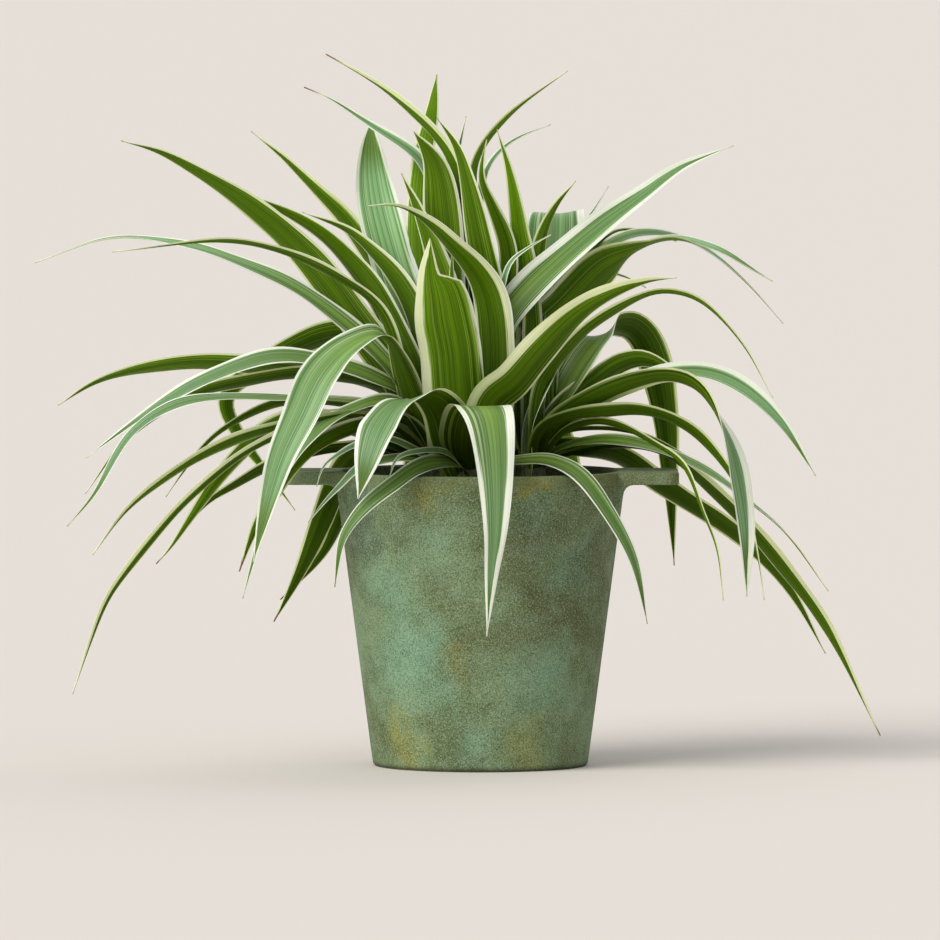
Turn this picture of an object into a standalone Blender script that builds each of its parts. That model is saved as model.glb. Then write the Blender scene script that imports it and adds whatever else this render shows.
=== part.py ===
"""A potted spider plant, in metres with +Z up and +Y away from its front.

Its origin is the centre of the pot's foot. A tapered pot with two lug handles is filled with potting mix,
and five crowns of long arching leaves stand in plain holes in the mix.
"""

import math
import random

import bmesh
import bpy
from mathutils import Vector

MM = 0.001

# Pot: a straight taper, cast in one with two flat lugs that lie flush with its rim.
POT_HEIGHT = 141.7 * MM
RIM_RADIUS = 70.0 * MM
FOOT_RADIUS = 51.5 * MM
WALL = 4.0 * MM
FLOOR = 5.0 * MM
FLOOR_CORNER = 3.5 * MM
EDGE = 0.9 * MM
POT_SIDES = 64
LUG_REACH = 95.0 * MM
LUG_WIDTH = 48.0 * MM
LUG_THICK = 6.0 * MM
LUG_CORNER = 5.0 * MM
LUG_FILLET = 5.0 * MM
LUG_RUN_OUT = 10.0 * MM
LUG_EDGE = 0.8 * MM

# Potting mix: it stops below the rim, and its top is lumpy.
MIX_LEVEL = 130.0 * MM
MIX_LUMPS = 1.2 * MM
MIX_SIDES = 32
MIX_RINGS = (0.96, 0.84, 0.7, 0.56, 0.42, 0.28, 0.14)
GAP = 0.3 * MM

# Crowns: a short neck where the leaf bases clasp each other, with its foot in a hole in the mix.
NECK_FOOT_RADIUS = 9.8 * MM
NECK_TOP_RADIUS = 6.5 * MM
NECK_DEPTH = 22.0 * MM
NECK_RISE = 13.0 * MM
NECK_SIDES = 14
ROOT_OFFSET = 3.0 * MM
COLLAR_OFFSET = 6.0 * MM
CROWNS = {
    "left": (-16, 0),
    "middle": (2, 14),
    "right": (24, 2),
    "front": (-4, -20),
    "back": (4, 40),
}

# Blades: lance shaped, folded to a shallow V along the midrib.
BLADE_THICK = 0.8 * MM
BLADE_STEP = 32.0 * MM
FEWEST_STATIONS = 7
MOST_STATIONS = 12
BASE_SHARE = 0.35
FULL_BY = 0.22
WIDEST_AT = 0.4
TAPER_POWER = 1.6
TIP_WIDTH = 1.1 * MM
FOLD_BASE = 52.0
FOLD_TIP = 16.0
TORN_SHARE = 0.78
TORN_OVER = 0.05

# The leaves nobody sees from the front lean away over the back rim.
BACK_LEAVES = 13
BACK_SPREAD = 40.0
BACK_SEED = 7


def leaf(
    crown, width, faces, *points, widest=WIDEST_AT, taper=TAPER_POWER, fold=FOLD_TIP, shoulder=None
):
    """One leaf. Points run up its midrib in millimetres, and its width is in millimetres too.

    faces are degrees, evenly spaced from base to tip: at 0 the upper side faces the front, at 90 it faces up
    and out, and at 180 it faces the back. None keeps the blade level, with its upper side up and out.
    widest is how far up the blade its full width ends, a taper over 1 keeps it broad for longer after that, and
    fold is how steep its channel still is past the base, in degrees. From shoulder on, a torn one has lost
    most of its left half.
    """
    return {
        "crown": crown,
        "width": width * MM,
        "faces": faces,
        "points": [Vector(point) * MM for point in points],
        "widest": widest,
        "taper": taper,
        "fold": fold,
        "shoulder": shoulder,
    }


SEEN_LEAVES = (
    # Upper left, from the front to the back.
    leaf("left", 13, (125, 115, 115, 105),
         (-36, -8, 184), (-48, -12, 217.5), (-67, -16, 233.5), (-96, -18, 247), (-125, -18, 252),
         (-176, -18, 247)),
    leaf("left", 12, (60, 45, 60, 90),
         (-34, -3, 178), (-58, -2, 206), (-87, 0, 228), (-115, 2, 241), (-144, 4, 250), (-178, 6, 253),
         (-214, 8, 241)),
    leaf("left", 20, (150, 160, 150, 130),
         (-39, 2, 183), (-58, 6, 209), (-72, 8, 229), (-86, 9, 245.5), (-102.5, 7, 261.5), (-125.5, 2.5, 278),
         (-151.5, -4, 293.5), (-172, -10, 300)),
    leaf("left", 16, (150, 150, 145, 140),
         (-31, 6, 180), (-42, 12, 208), (-51, 15, 226), (-63, 18, 241), (-77, 19, 255), (-96, 20, 266),
         (-120, 18, 276)),
    leaf("left", 16, (155, 155, 150, 130),
         (-27, 8, 199), (-33, 14, 220), (-41, 18, 234), (-53, 22, 247), (-65, 25, 257), (-86, 28, 265)),
    leaf("back", 20, (150, 150, 145, 140),
         (-20, 46, 190), (-46, 48, 232), (-65, 51, 260), (-75.6, 51, 271), (-88.5, 52, 284),
         (-94.8, 52, 290.5), (-111, 52, 303.5), taper=1.4),
    leaf("middle", 22.5, (15, 10, 10, 15),
         (-10, 20, 170), (-30, 26, 207), (-41, 36, 235), (-50, 47, 267), (-53, 54, 290), (-53, 60, 309),
         widest=0.62, taper=3.4),
    # The upright leaves of the middle.
    leaf("middle", 12, (125, 130, 130, 120),
         (-1, 20, 221), (-5, 23, 260), (-13.7, 27, 288.8), (-18.5, 30, 297.4), (-27, 31, 307.5),
         (-43.4, 34, 321.8), (-58, 38, 331.5), (-74.6, 40, 340.8), widest=0.6),
    leaf("middle", 14, (60, 50, 50, 60),
         (-4, 22, 200), (-12, 27, 240), (-22, 33, 276), (-29, 36, 289.4), (-33.8, 37, 294.2),
         (-53, 41, 306.4), (-72.2, 44, 319), (-85.2, 46, 324.8), widest=0.5),
    leaf("middle", 11, (170, 170, 165, 160),
         (-18, 26, 190), (-30, 36, 238), (-30.8, 41, 269), (-28.3, 44, 292), (-23.8, 45, 312.3),
         (-21, 46, 331), widest=0.75, taper=2.7),
    leaf("middle", 15, (160, 165, 160, 150),
         (-4, 12, 190), (-15, 11, 222), (-22, 12, 244), (-27, 13, 258), (-32, 14, 271), (-38, 14, 284),
         widest=0.6),
    leaf("middle", 22, (165, 165, 160, 150),
         (-7, 16, 195), (-17.5, 18, 224), (-18.5, 20, 246), (-19.5, 20, 266), (-22.5, 18, 288),
         (-32, 14, 304), widest=0.72, taper=2.0),
    leaf("middle", 17, (160, 160, 155, 145),
         (5, 8, 195), (4, 6, 222), (1.5, 5, 238), (-3, 5, 261), (-7, 5, 281), (-11.5, 5, 297), (-21, 5, 311),
         widest=0.55),
    leaf("middle", 11, (60, 60, 60, 60),
         (-4, 22, 215), (-7, 27, 255), (-12, 32, 285), (-10, 35, 298), (-7, 37, 311), widest=0.6),
    leaf("middle", 9, (150, 150, 150, 150),
         (-6, 6, 180), (-12, 4, 218), (-14, 3, 236), (-13, 2, 250), widest=0.5),
    leaf("middle", 11, (125, 125, 120, 110),
         (1, 22, 225), (-2, 23, 260), (-3, 24, 284), (1.5, 24, 296), (9, 24, 306), (19, 26, 316),
         (42, 30, 333), widest=0.6),
    leaf("middle", 12, (155, 155, 150, 140),
         (9, 18, 208), (13, 18, 244), (6, 19, 266), (0, 19, 282), (3, 20, 300), widest=0.6),
    leaf("middle", 12, (60, 60, 60, 70),
         (0, 26, 230), (0, 29, 266), (3, 32, 284), (8, 33, 292.5), (17, 34, 300), (34, 36, 307), widest=0.5),
    leaf("middle", 18, (30, 25, 25, 40),
         (4, 8, 180), (9, 8, 208), (20, 11, 225), (38, 19, 242), (57, 29, 258), (77, 42, 272), (97, 56, 286),
         (123, 74, 296)),
    # The front of the clump.
    leaf("front", 22, (160, 155, 140, 105),
         (5, -12, 175), (6, -7, 205), (3, -6, 226), (-4, -8, 239), (-14, -10, 250), (-24, -13, 260),
         (-39, -16, 269), (-54, -18, 269), widest=0.5, taper=1.3),
    leaf("front", 31, (180, 180, 175, 170),
         (-13, -25, 182), (-14.5, -27, 200), (-17, -29, 213), (-19, -31, 226), (-21.5, -32, 236),
         (-24, -34, 254), widest=0.64, taper=2.0, shoulder=0.82),
    leaf("front", 21, (165, 160, 150, 130),
         (4, -28, 174), (16, -33, 185), (29.5, -38, 201.5), (43.5, -44, 216.5), (59, -50, 227),
         (77, -56, 234), (93, -60, 236)),
    leaf("front", 26, None,
         (-8, -32, 154), (-5, -46, 170), (1, -66, 175), (5, -81, 166), (7, -88, 143), (7, -89, 117),
         (5, -87, 95), (3, -84, 67), taper=1.0, fold=5),
    leaf("front", 27, (170, 160, 110, 35, 10),
         (-14, -30, 160), (-18, -38, 171), (-26, -50, 178), (-39, -63, 176), (-47.5, -74, 166),
         (-53, -80, 152), (-58, -81, 132), widest=0.6, fold=9),
    leaf("front", 10, (90, 50, 20, 15),
         (-20, -42, 147.4), (-31, -60, 145), (-41, -72, 138.5), (-52, -77, 130.5), (-60, -79, 122),
         (-66, -79, 111), (-69, -78, 90), fold=10),
    leaf("front", 6, (90, 60, 40), (-18, -34, 152), (-33, -46, 152), (-40, -53, 149), (-43, -62, 142)),
    leaf("front", 11, (100, 60, 30, 15),
         (24, -32, 148), (38, -49, 147), (48, -60, 141.2), (58, -68, 128.5), (68, -72, 112.5), (74, -72, 97),
         (79, -70, 72), fold=8),
    # The leaves that arch to the left.
    leaf("left", 20, (160, 155, 130, 78, 25, 14, 10, 10),
         (-31, -8, 165), (-38.5, -16, 190), (-47, -29, 207.5), (-62, -42, 203), (-72.5, -51, 194),
         (-79, -55, 184.5), (-84, -59, 173), (-94, -64, 152), (-100.8, -66, 130), (-107.8, -66, 101),
         widest=0.6),
    leaf("left", 12, (110, 125, 140, 150),
         (-35, -8, 165), (-58, -17, 163), (-77, -25, 155), (-91, -31, 143), (-101, -34, 127),
         (-109, -35, 112), (-115, -36, 95), widest=0.6),
    leaf("left", 10, (70, 60, 50, 40),
         (-39, -11, 174), (-63, -22, 171), (-82, -34, 158), (-94, -44, 141), (-102, -50, 121),
         (-113, -53, 83), widest=0.52),
    leaf("left", 13, (130, 140, 140, 120),
         (-39, 8, 175), (-63, 15, 187), (-87, 21, 189.5), (-111, 26, 190.5), (-144, 31, 191.5),
         (-182, 34, 184), (-204, 34, 171.5), widest=0.5, taper=2.3),
    leaf("left", 12, (90, 55, 50, 60),
         (-34, 0, 175), (-48, 0, 184), (-65, 0, 191), (-98, 0, 196), (-127, -2, 187), (-154, -6, 173),
         (-189, -10, 148), widest=0.6),
    leaf("left", 11, (120, 130, 130, 110),
         (-39, 10, 176), (-63, 12, 185), (-87, 13, 187), (-115, 12, 183), (-141, 10, 176), (-170, 8, 156),
         (-190, 6, 130), widest=0.5),
    leaf("left", 9, (110, 80, 60, 50),
         (-39, -4, 169), (-67, -8, 175), (-94, -11, 176), (-121, -15, 177), (-146, -19, 173.5),
         (-165, -22, 161.8), (-176, -23, 146), (-184.6, -24, 130.5), (-197.5, -24, 115.8), widest=0.65),
    leaf("left", 9, (120, 130, 130, 120),
         (-40, 2, 168), (-72, 4, 174), (-95, 3, 174), (-113, 1, 167), (-130, -1, 156), (-144, -3, 139),
         (-151, -4, 129)),
    leaf("left", 9.5, (120, 125, 130, 120),
         (-48, -10, 167), (-72, -20, 168), (-95, -27, 163.5), (-115, -30, 158), (-143, -34, 144),
         (-168, -37, 125), (-185, -38, 103), widest=0.6),
    leaf("left", 12, (145, 150, 150, 145),
         (-48, -4, 158), (-80, -10, 167), (-98, -14, 164), (-112, -17, 153), (-125, -21, 139),
         (-137, -23, 122), (-148, -24, 106), (-155, -24, 98), widest=0.5),
    leaf("left", 6, (125, 135, 140, 130),
         (-39, -12, 162), (-58, -20, 169), (-80, -29, 167), (-98.6, -36, 159), (-117, -40, 148.8),
         (-138.5, -44, 130.7), (-153.8, -47, 114), (-168.2, -49, 96), (-179.8, -51, 78), (-194.2, -52, 37.4),
         widest=0.7),
    leaf("left", 9, (110, 130, 140, 140),
         (-45, 4, 152), (-70, 8, 151.5), (-87, 10, 148.6), (-102, 10, 142.8), (-118, 8, 134), (-130, 6, 127),
         (-140, 4, 116), widest=0.6, taper=1.8),
    leaf("left", 7, (90, 60, 40, 30),
         (-35, -16, 148), (-50, -34, 147), (-59, -43, 144), (-66, -46, 137), (-74, -49, 129),
         (-82, -50, 119)),
    leaf("left", 7, (80, 60, 50),
         (-43, -18, 157), (-59, -30, 155), (-69, -37, 150), (-75, -40, 145), (-78, -42, 136)),
    # The upper right.
    leaf("right", 14, (165, 170, 165, 150),
         (24, 15, 190), (21.5, 20, 236), (19, 21, 252), (17, 21, 267), (13.5, 20, 286), (8, 18, 305),
         widest=0.5),
    leaf("right", 12, (160, 160, 150, 140),
         (26, 18, 215), (28, 23, 244), (31, 26, 257), (37, 28, 269), (46, 30, 280), widest=0.6),
    leaf("front", 8, (50, 50, 45),
         (2, -6, 185), (8, -2, 212), (11, -5, 231), (14.5, -9, 242), (19.9, -9, 246.5), (26.6, -9, 251),
         (33.8, -9, 255)),
    leaf("back", 32, None,
         (14, 42, 175), (31, 46, 218), (36, 52, 245), (37, 63, 261), (37, 80, 262), (37, 102, 247),
         (37, 120, 214), widest=0.5, fold=5),
    leaf("right", 9, (70, 60, 60), (30, 24, 215), (45, 36, 251), (54, 41, 264), (62, 44, 277)),
    leaf("right", 24, (170, 170, 168, 166, 164, 160, 150, 92, 76, 72, 70),
         (29, 18, 203), (40, 24, 217), (49.7, 30, 227.6), (58.3, 32, 237), (67, 34, 242.2), (75.6, 36, 246.2),
         (86.2, 38, 250.5), (95.8, 41, 251.5), (105.4, 43, 249), (115, 44, 246), (124.6, 45, 240.7),
         (134, 46, 235), (141.4, 46, 231), widest=0.45),
    leaf("right", 10, (60, 45, 60, 90),
         (30, 26, 205), (50, 38, 238), (69, 47, 252), (84, 52, 254), (96, 55, 252), (111, 57, 245),
         (130, 59, 229), (147, 60, 210)),
    leaf("right", 8, (130, 125, 120),
         (28, 26, 205), (50, 38, 240), (58, 45, 250), (66, 50, 255.6), (71.8, 52, 256), (78.5, 54, 255.3),
         (86, 56, 253.4), (95, 58, 250)),
    leaf("right", 8, (60, 50, 50),
         (34, 20, 205), (48, 32, 226), (58, 40, 234.5), (66, 42, 234.5), (74, 43, 231.5), (80, 44, 228)),
    leaf("right", 11, (140, 130, 110, 100),
         (29, -6, 180), (42, -12, 200), (57, -12, 213.5), (77, -11, 225), (90, -11, 227.5), (107, -12, 222),
         (126, -14, 202), (140, -16, 177)),
    leaf("right", 12, (70, 60, 60), (24, -2, 162), (29, -2, 177), (36, -2, 190), (44, -3, 206), widest=0.5),
    # The leaves that arch to the right.
    leaf("right", 18, (50, 49, 47, 46, 44, 43, 52, 120, 157, 162, 163, 163, 163, 164, 164, 165, 165),
         (31, 14, 162), (41, 19, 180), (48.5, 23, 192), (54.5, 28, 200), (59.5, 34, 205), (63.5, 42, 207.8),
         (67.5, 50, 209), (72.3, 56, 209), (77, 60, 206), (81.2, 62, 199.5), (84.6, 63, 190), (87.4, 63, 177),
         (89.8, 62, 162), (91, 60, 148), (92.5, 56, 122), (94, 52, 93), widest=0.62, taper=1.0),
    leaf("right", 13, (90, 85, 75, 50, 35, 30),
         (38, 3, 165), (57, 4, 177), (77, 5, 184.8), (93, 5, 188.4), (108.5, 4, 188.4), (122.6, 2, 183.4),
         (136, -1, 173.3), (148.6, -4, 159.2), (160.6, -8, 139.2), widest=0.6),
    leaf("right", 14, (150, 150, 145),
         (38, 16, 168), (57, 21, 184), (67, 23, 191), (76.6, 24, 194), (84.2, 24, 192.3), (92, 24, 188.5),
         (101.5, 24, 181.7), widest=0.6),
    leaf("right", 15, (150, 150, 120, 40, 20),
         (36, -6, 163), (57, -14, 177), (77, -20, 185), (92, -25, 187), (105.5, -28, 180), (118, -32, 157),
         (126, -35, 119), (127, -36, 83), widest=0.7),
    leaf("right", 11, (120, 130, 120, 100),
         (29, -11, 161), (44, -14, 168), (60, -16, 170), (74, -15, 171), (90, -13, 167), (107, -11, 156),
         (124, -11, 132), (133, -12, 100), (136, -13, 80)),
    leaf("right", 8, (120, 120, 110, 110),
         (40, -3, 160), (56, -9, 165), (68, -14, 163), (83, -23, 155), (97, -31, 145), (106, -34, 123),
         (113, -35, 105), (116, -35, 81)),
    leaf("right", 9, (80, 55, 70, 120),
         (38, 0, 151), (57, 0, 156), (80, 0, 153), (105, -1, 143), (128, -3, 127), (147, -5, 111),
         (167, -8, 84)),
    leaf("right", 8, (110, 110, 100),
         (38, 8, 158), (57, 9, 161), (77, 10, 158), (95, 10, 150), (113, 9, 139), (121, 8, 133)),
    leaf("right", 10, (110, 110, 140, 140, 120),
         (38, 12, 147), (56, 15, 151), (77, 17, 152), (91, 18.5, 147.6), (104, 20, 137.6), (122, 21, 121),
         (139, 22, 102), (156, 23, 80.5), (170, 24, 59.4), (182, 24, 35), (193, 24, 12.3), widest=0.6),
    leaf("back", 14, (110, 140, 150, 140),
         (34, 36, 150), (56, 38, 149), (70, 39, 145), (80, 40, 137), (100, 40, 124), (127, 40, 106),
         (150, 40, 81), (167, 40, 51)),
    # Over the back rim on the left.
    leaf("back", 17, (150, 150, 150, 150),
         (-30, 44, 182), (-52, 49, 201), (-70, 54, 205), (-90, 60, 198), (-112, 66, 185), (-123.6, 68, 174.8),
         (-122.4, 69, 166), (-116, 70, 154), (-104, 70, 137.8), (-90, 67, 119)),
    leaf("back", 16, (90, 140, 155, 150),
         (-30, 36, 150), (-50, 40, 150), (-61, 43, 145), (-69, 45, 133), (-76, 46, 116), (-86, 47, 92),
         (-100, 47, 66), widest=0.5),
    leaf("back", 11, (90, 140, 150),
         (-28, 46, 150), (-46, 52, 149), (-57, 55, 141), (-65, 56, 124), (-75, 57, 100), (-97, 58, 76),
         widest=0.5),
)


def back_leaves():
    """The hidden side of the clump: upright, arching and drooping leaves in turn, all leaning away."""
    chance = random.Random(BACK_SEED)
    habits = (
        # Height over the mix, reach, how far the tip drops from the top, width.
        (88, 62, 6, 14),
        (66, 104, 38, 15),
        (30, 96, 96, 12),
    )
    leaves = []
    for index in range(BACK_LEAVES):
        height, reach, drop, width = habits[index % len(habits)]
        share = (index * 0.618) % 1
        turn = math.radians(90 + BACK_SPREAD * (2 * share - 1))
        height *= chance.uniform(0.86, 1.14)
        reach *= chance.uniform(0.88, 1.12)
        x, y = CROWNS["back"]
        points = []
        for step in (0.3, 0.55, 0.8, 1.0):
            out = reach * step**1.1
            fall = drop * max(0, step - 0.55) ** 1.6 / 0.45**1.6
            up = height * math.sin(math.pi / 2 * min(1, step / 0.62)) - fall
            points.append((x + out * math.cos(turn), y + 4 + out * math.sin(turn), MIX_LEVEL / MM + 12 + up))
        leaves.append(leaf("back", width * chance.uniform(0.8, 1.15), None, *points))
    return leaves


def clear_scene():
    for obj in list(bpy.data.objects):
        bpy.data.objects.remove(obj, do_unlink=True)


def new_collection(name):
    collection = bpy.data.collections.new(name)
    bpy.context.scene.collection.children.link(collection)
    return collection


def material(name, colour, roughness, metallic=0.0):
    made = bpy.data.materials.new(name)
    made.use_nodes = True
    shader = made.node_tree.nodes["Principled BSDF"]
    shader.inputs["Base Color"].default_value = (*colour, 1)
    shader.inputs["Roughness"].default_value = roughness
    shader.inputs["Metallic"].default_value = metallic
    made.diffuse_color = (*colour, 1)
    return made


def new_object(name, mesh, collection, finish=None):
    obj = bpy.data.objects.new(name, mesh)
    collection.objects.link(obj)
    if finish:
        obj.data.materials.append(finish)
    return obj


def object_from_bmesh(name, bm, collection, finish=None):
    mesh = bpy.data.meshes.new(name)
    bm.to_mesh(mesh)
    bm.free()
    return new_object(name, mesh, collection, finish)


def turned(name, profile, sides, collection, finish=None):
    """A solid of revolution. The profile holds (radius, height) and runs down its outer side."""
    bm = bmesh.new()
    verts = [bm.verts.new((radius, 0, height)) for radius, height in profile]
    for start, end in zip(verts, verts[1:]):
        bm.edges.new((start, end))
    obj = object_from_bmesh(name, bm, collection, finish)
    screw = obj.modifiers.new("turn", "SCREW")
    screw.steps = screw.render_steps = sides
    screw.use_merge_vertices = True
    screw.merge_threshold = 0.00001
    return obj


def as_cutter(obj):
    obj.hide_render = True
    obj.display_type = "WIRE"
    return obj


def boolean(obj, operation, solver="EXACT", other=None, collection=None):
    step = obj.modifiers.new(operation.lower(), "BOOLEAN")
    step.operation = operation
    step.solver = solver
    if collection:
        step.operand_type = "COLLECTION"
        step.collection = collection
    else:
        step.object = other
    return step


def apply_modifiers(obj):
    """Keeps the shape that the modifiers make as the object's own mesh."""
    graph = bpy.context.evaluated_depsgraph_get()
    mesh = bpy.data.meshes.new_from_object(obj.evaluated_get(graph), depsgraph=graph)
    obj.modifiers.clear()
    old = obj.data
    obj.data = mesh
    mesh.name = old.name
    bpy.data.meshes.remove(old)


def shade_round(obj, angle=35):
    obj.data.shade_smooth()
    obj.data.set_sharp_from_angle(angle=math.radians(angle))


def pot_radius(height):
    return FOOT_RADIUS + (RIM_RADIUS - FOOT_RADIUS) * height / POT_HEIGHT


def lug(name, side, collection):
    """A flat slab flush with the rim, with a fillet below it that runs out into the round wall."""
    under = POT_HEIGHT - LUG_THICK
    inside = RIM_RADIUS - 9 * MM
    wall = pot_radius(under - LUG_FILLET) - 0.3 * MM
    outline = [(inside, POT_HEIGHT), (LUG_REACH, POT_HEIGHT), (LUG_REACH, under)]
    for step in range(5):
        angle = math.pi / 2 * step / 4
        x = wall + LUG_FILLET * (1 - math.sin(angle))
        outline.append((x, under - LUG_FILLET * (1 - math.cos(angle))))
    outline.append((inside, under - LUG_FILLET - LUG_RUN_OUT))
    bm = bmesh.new()
    face = bm.faces.new([bm.verts.new((side * x, -LUG_WIDTH / 2, z)) for x, z in outline])
    made = bmesh.ops.extrude_face_region(bm, geom=[face])["geom"]
    moved = [item for item in made if isinstance(item, bmesh.types.BMVert)]
    bmesh.ops.translate(bm, verts=moved, vec=(0, LUG_WIDTH, 0))
    bmesh.ops.recalc_face_normals(bm, faces=bm.faces)
    tips = [edge for edge in bm.edges
            if all(abs(vert.co.x) > LUG_REACH - MM for vert in edge.verts)
            and abs(edge.verts[0].co.z - edge.verts[1].co.z) > MM]
    bmesh.ops.bevel(bm, geom=tips, offset=LUG_CORNER, segments=4, affect="EDGES", profile=0.5)
    rims = [edge for edge in bm.edges
            if all(abs(vert.co.x) > wall + MM for vert in edge.verts)
            and len(edge.link_faces) == 2 and edge.calc_face_angle() > math.radians(60)]
    bmesh.ops.bevel(bm, geom=rims, offset=LUG_EDGE, segments=2, affect="EDGES", profile=0.5)
    return object_from_bmesh(name, bm, collection)


def make_pot(collection, cutters, finish):
    profile = [
        (0, POT_HEIGHT),
        (RIM_RADIUS - EDGE, POT_HEIGHT),
        (RIM_RADIUS - EDGE * 0.3, POT_HEIGHT - EDGE * 0.3),
        (RIM_RADIUS, POT_HEIGHT - EDGE),
        (FOOT_RADIUS + 0.2 * MM, EDGE * 1.4),
        (FOOT_RADIUS - EDGE, 0),
        (0, 0),
    ]
    pot = turned("pot", profile, POT_SIDES, collection, finish)
    lugs = new_collection("lugs")
    for name, side in (("lug_left", -1), ("lug_right", 1)):
        lug(name, side, lugs)
    boolean(pot, "UNION", collection=lugs)
    cavity = [
        (0, POT_HEIGHT + 10 * MM),
        (RIM_RADIUS - WALL + EDGE * 0.7, POT_HEIGHT + 10 * MM),
        (RIM_RADIUS - WALL + EDGE * 0.7, POT_HEIGHT - EDGE * 0.1),
        (RIM_RADIUS - WALL, POT_HEIGHT - EDGE),
        (pot_radius(FLOOR + FLOOR_CORNER) - WALL, FLOOR + FLOOR_CORNER),
        (pot_radius(FLOOR) - WALL - FLOOR_CORNER, FLOOR),
        (0, FLOOR),
    ]
    boolean(pot, "DIFFERENCE", other=as_cutter(turned("pot_cavity", cavity, POT_SIDES, cutters)))
    apply_modifiers(pot)
    remove_collection(lugs)
    shade_round(pot)
    return pot


def remove_collection(collection):
    for obj in list(collection.objects):
        bpy.data.objects.remove(obj, do_unlink=True)
    bpy.data.collections.remove(collection)


def mix_height(x, y):
    """The lumpy top of the potting mix."""
    lumps = math.sin(x / (6.1 * MM)) * math.cos(y / (5.3 * MM)) + math.sin((x + y) / (9.7 * MM))
    return MIX_LEVEL + MIX_LUMPS * 0.5 * lumps


def make_mix(collection, cutters, finish):
    bottom = FLOOR + GAP
    outer = pot_radius(MIX_LEVEL) - WALL - GAP
    corner = FLOOR_CORNER + 2 * GAP
    levels = [
        (pot_radius(bottom) - WALL - corner, bottom),
        (pot_radius(bottom + corner) - WALL - GAP, bottom + corner),
    ]
    bm = bmesh.new()
    rings = []
    for radius, height in levels:
        rings.append([bm.verts.new((radius * math.cos(a), radius * math.sin(a), height)) for a in mix_angles()])
    rings.append([bm.verts.new((outer * math.cos(a), outer * math.sin(a), MIX_LEVEL)) for a in mix_angles()])
    for share in MIX_RINGS:
        ring = []
        for angle in mix_angles():
            x = outer * share * math.cos(angle)
            y = outer * share * math.sin(angle)
            ring.append(bm.verts.new((x, y, mix_height(x, y))))
        rings.append(ring)
    for low, high in zip(rings, rings[1:]):
        for i in range(MIX_SIDES):
            j = (i + 1) % MIX_SIDES
            bm.faces.new((low[i], low[j], high[j], high[i]))
    bm.faces.new(reversed(rings[0]))
    middle = bm.verts.new((0, 0, mix_height(0, 0)))
    for i in range(MIX_SIDES):
        bm.faces.new((rings[-1][i], rings[-1][(i + 1) % MIX_SIDES], middle))
    bmesh.ops.recalc_face_normals(bm, faces=bm.faces)
    mix = object_from_bmesh("potting_mix", bm, collection, finish)
    for name, (x, y) in CROWNS.items():
        depth = NECK_DEPTH + GAP
        hole = turned(
            f"hole_{name}",
            [(0, MIX_LEVEL + 10 * MM), (NECK_FOOT_RADIUS + GAP, MIX_LEVEL + 10 * MM),
             (NECK_FOOT_RADIUS + GAP, MIX_LEVEL - depth), (0, MIX_LEVEL - depth)],
            NECK_SIDES, cutters)
        hole.location = (x * MM, y * MM, 0)
        boolean(mix, "DIFFERENCE", other=as_cutter(hole))
    return mix


def mix_angles():
    return [2 * math.pi * step / MIX_SIDES for step in range(MIX_SIDES)]


def smooth_step(value):
    value = min(1.0, max(0.0, value))
    return value * value * (3 - 2 * value)


def curve_point(points, at):
    """A point on the smooth curve through points, where at counts points from 0."""
    index = min(int(at), len(points) - 2)
    t = at - index
    p1, p2 = points[index], points[index + 1]
    p0 = points[index - 1] if index else p1 * 2 - p2
    p3 = points[index + 2] if index + 2 < len(points) else p2 * 2 - p1
    m1 = (p2 - p0) / 2
    m2 = (p3 - p1) / 2
    return (p1 * (2 * t**3 - 3 * t**2 + 1) + m1 * (t**3 - 2 * t**2 + t)
            + p2 * (3 * t**2 - 2 * t**3) + m2 * (t**3 - t**2))


def midrib(spec, step, fewest, most):
    """Evenly spaced stations from the root in the crown's neck, through the collar, to the tip."""
    x, y = CROWNS[spec["crown"]]
    centre = Vector((x, y, 0)) * MM
    first = spec["points"][0]
    away = Vector((first.x - centre.x, first.y - centre.y, 0))
    away = away.normalized() if away.length > MM else Vector((0, 1, 0))
    root = centre + away * ROOT_OFFSET + Vector((0, 0, MIX_LEVEL - 5 * MM))
    collar = centre + away * COLLAR_OFFSET + Vector((0, 0, MIX_LEVEL + NECK_RISE))
    knots = [root, collar, *spec["points"]]
    fine = [curve_point(knots, i / 12) for i in range(12 * (len(knots) - 1) + 1)]
    along = [0.0]
    for start, end in zip(fine, fine[1:]):
        along.append(along[-1] + (end - start).length)
    count = max(fewest, min(most, round(along[-1] / step) + 1))
    stations = []
    index = 0
    for station in range(count):
        target = along[-1] * station / (count - 1)
        while index < len(along) - 2 and along[index + 1] < target:
            index += 1
        span = along[index + 1] - along[index]
        stations.append(fine[index].lerp(fine[index + 1], (target - along[index]) / span))
    return stations


def blade_width(spec, t):
    """The width at t, from 0 at the base to 1 at the tip."""
    share = BASE_SHARE + (1 - BASE_SHARE) * smooth_step(t / FULL_BY)
    if t > spec["widest"]:
        share *= 1 - ((t - spec["widest"]) / (1 - spec["widest"])) ** spec["taper"]
    return max(TIP_WIDTH, spec["width"] * share)


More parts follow.
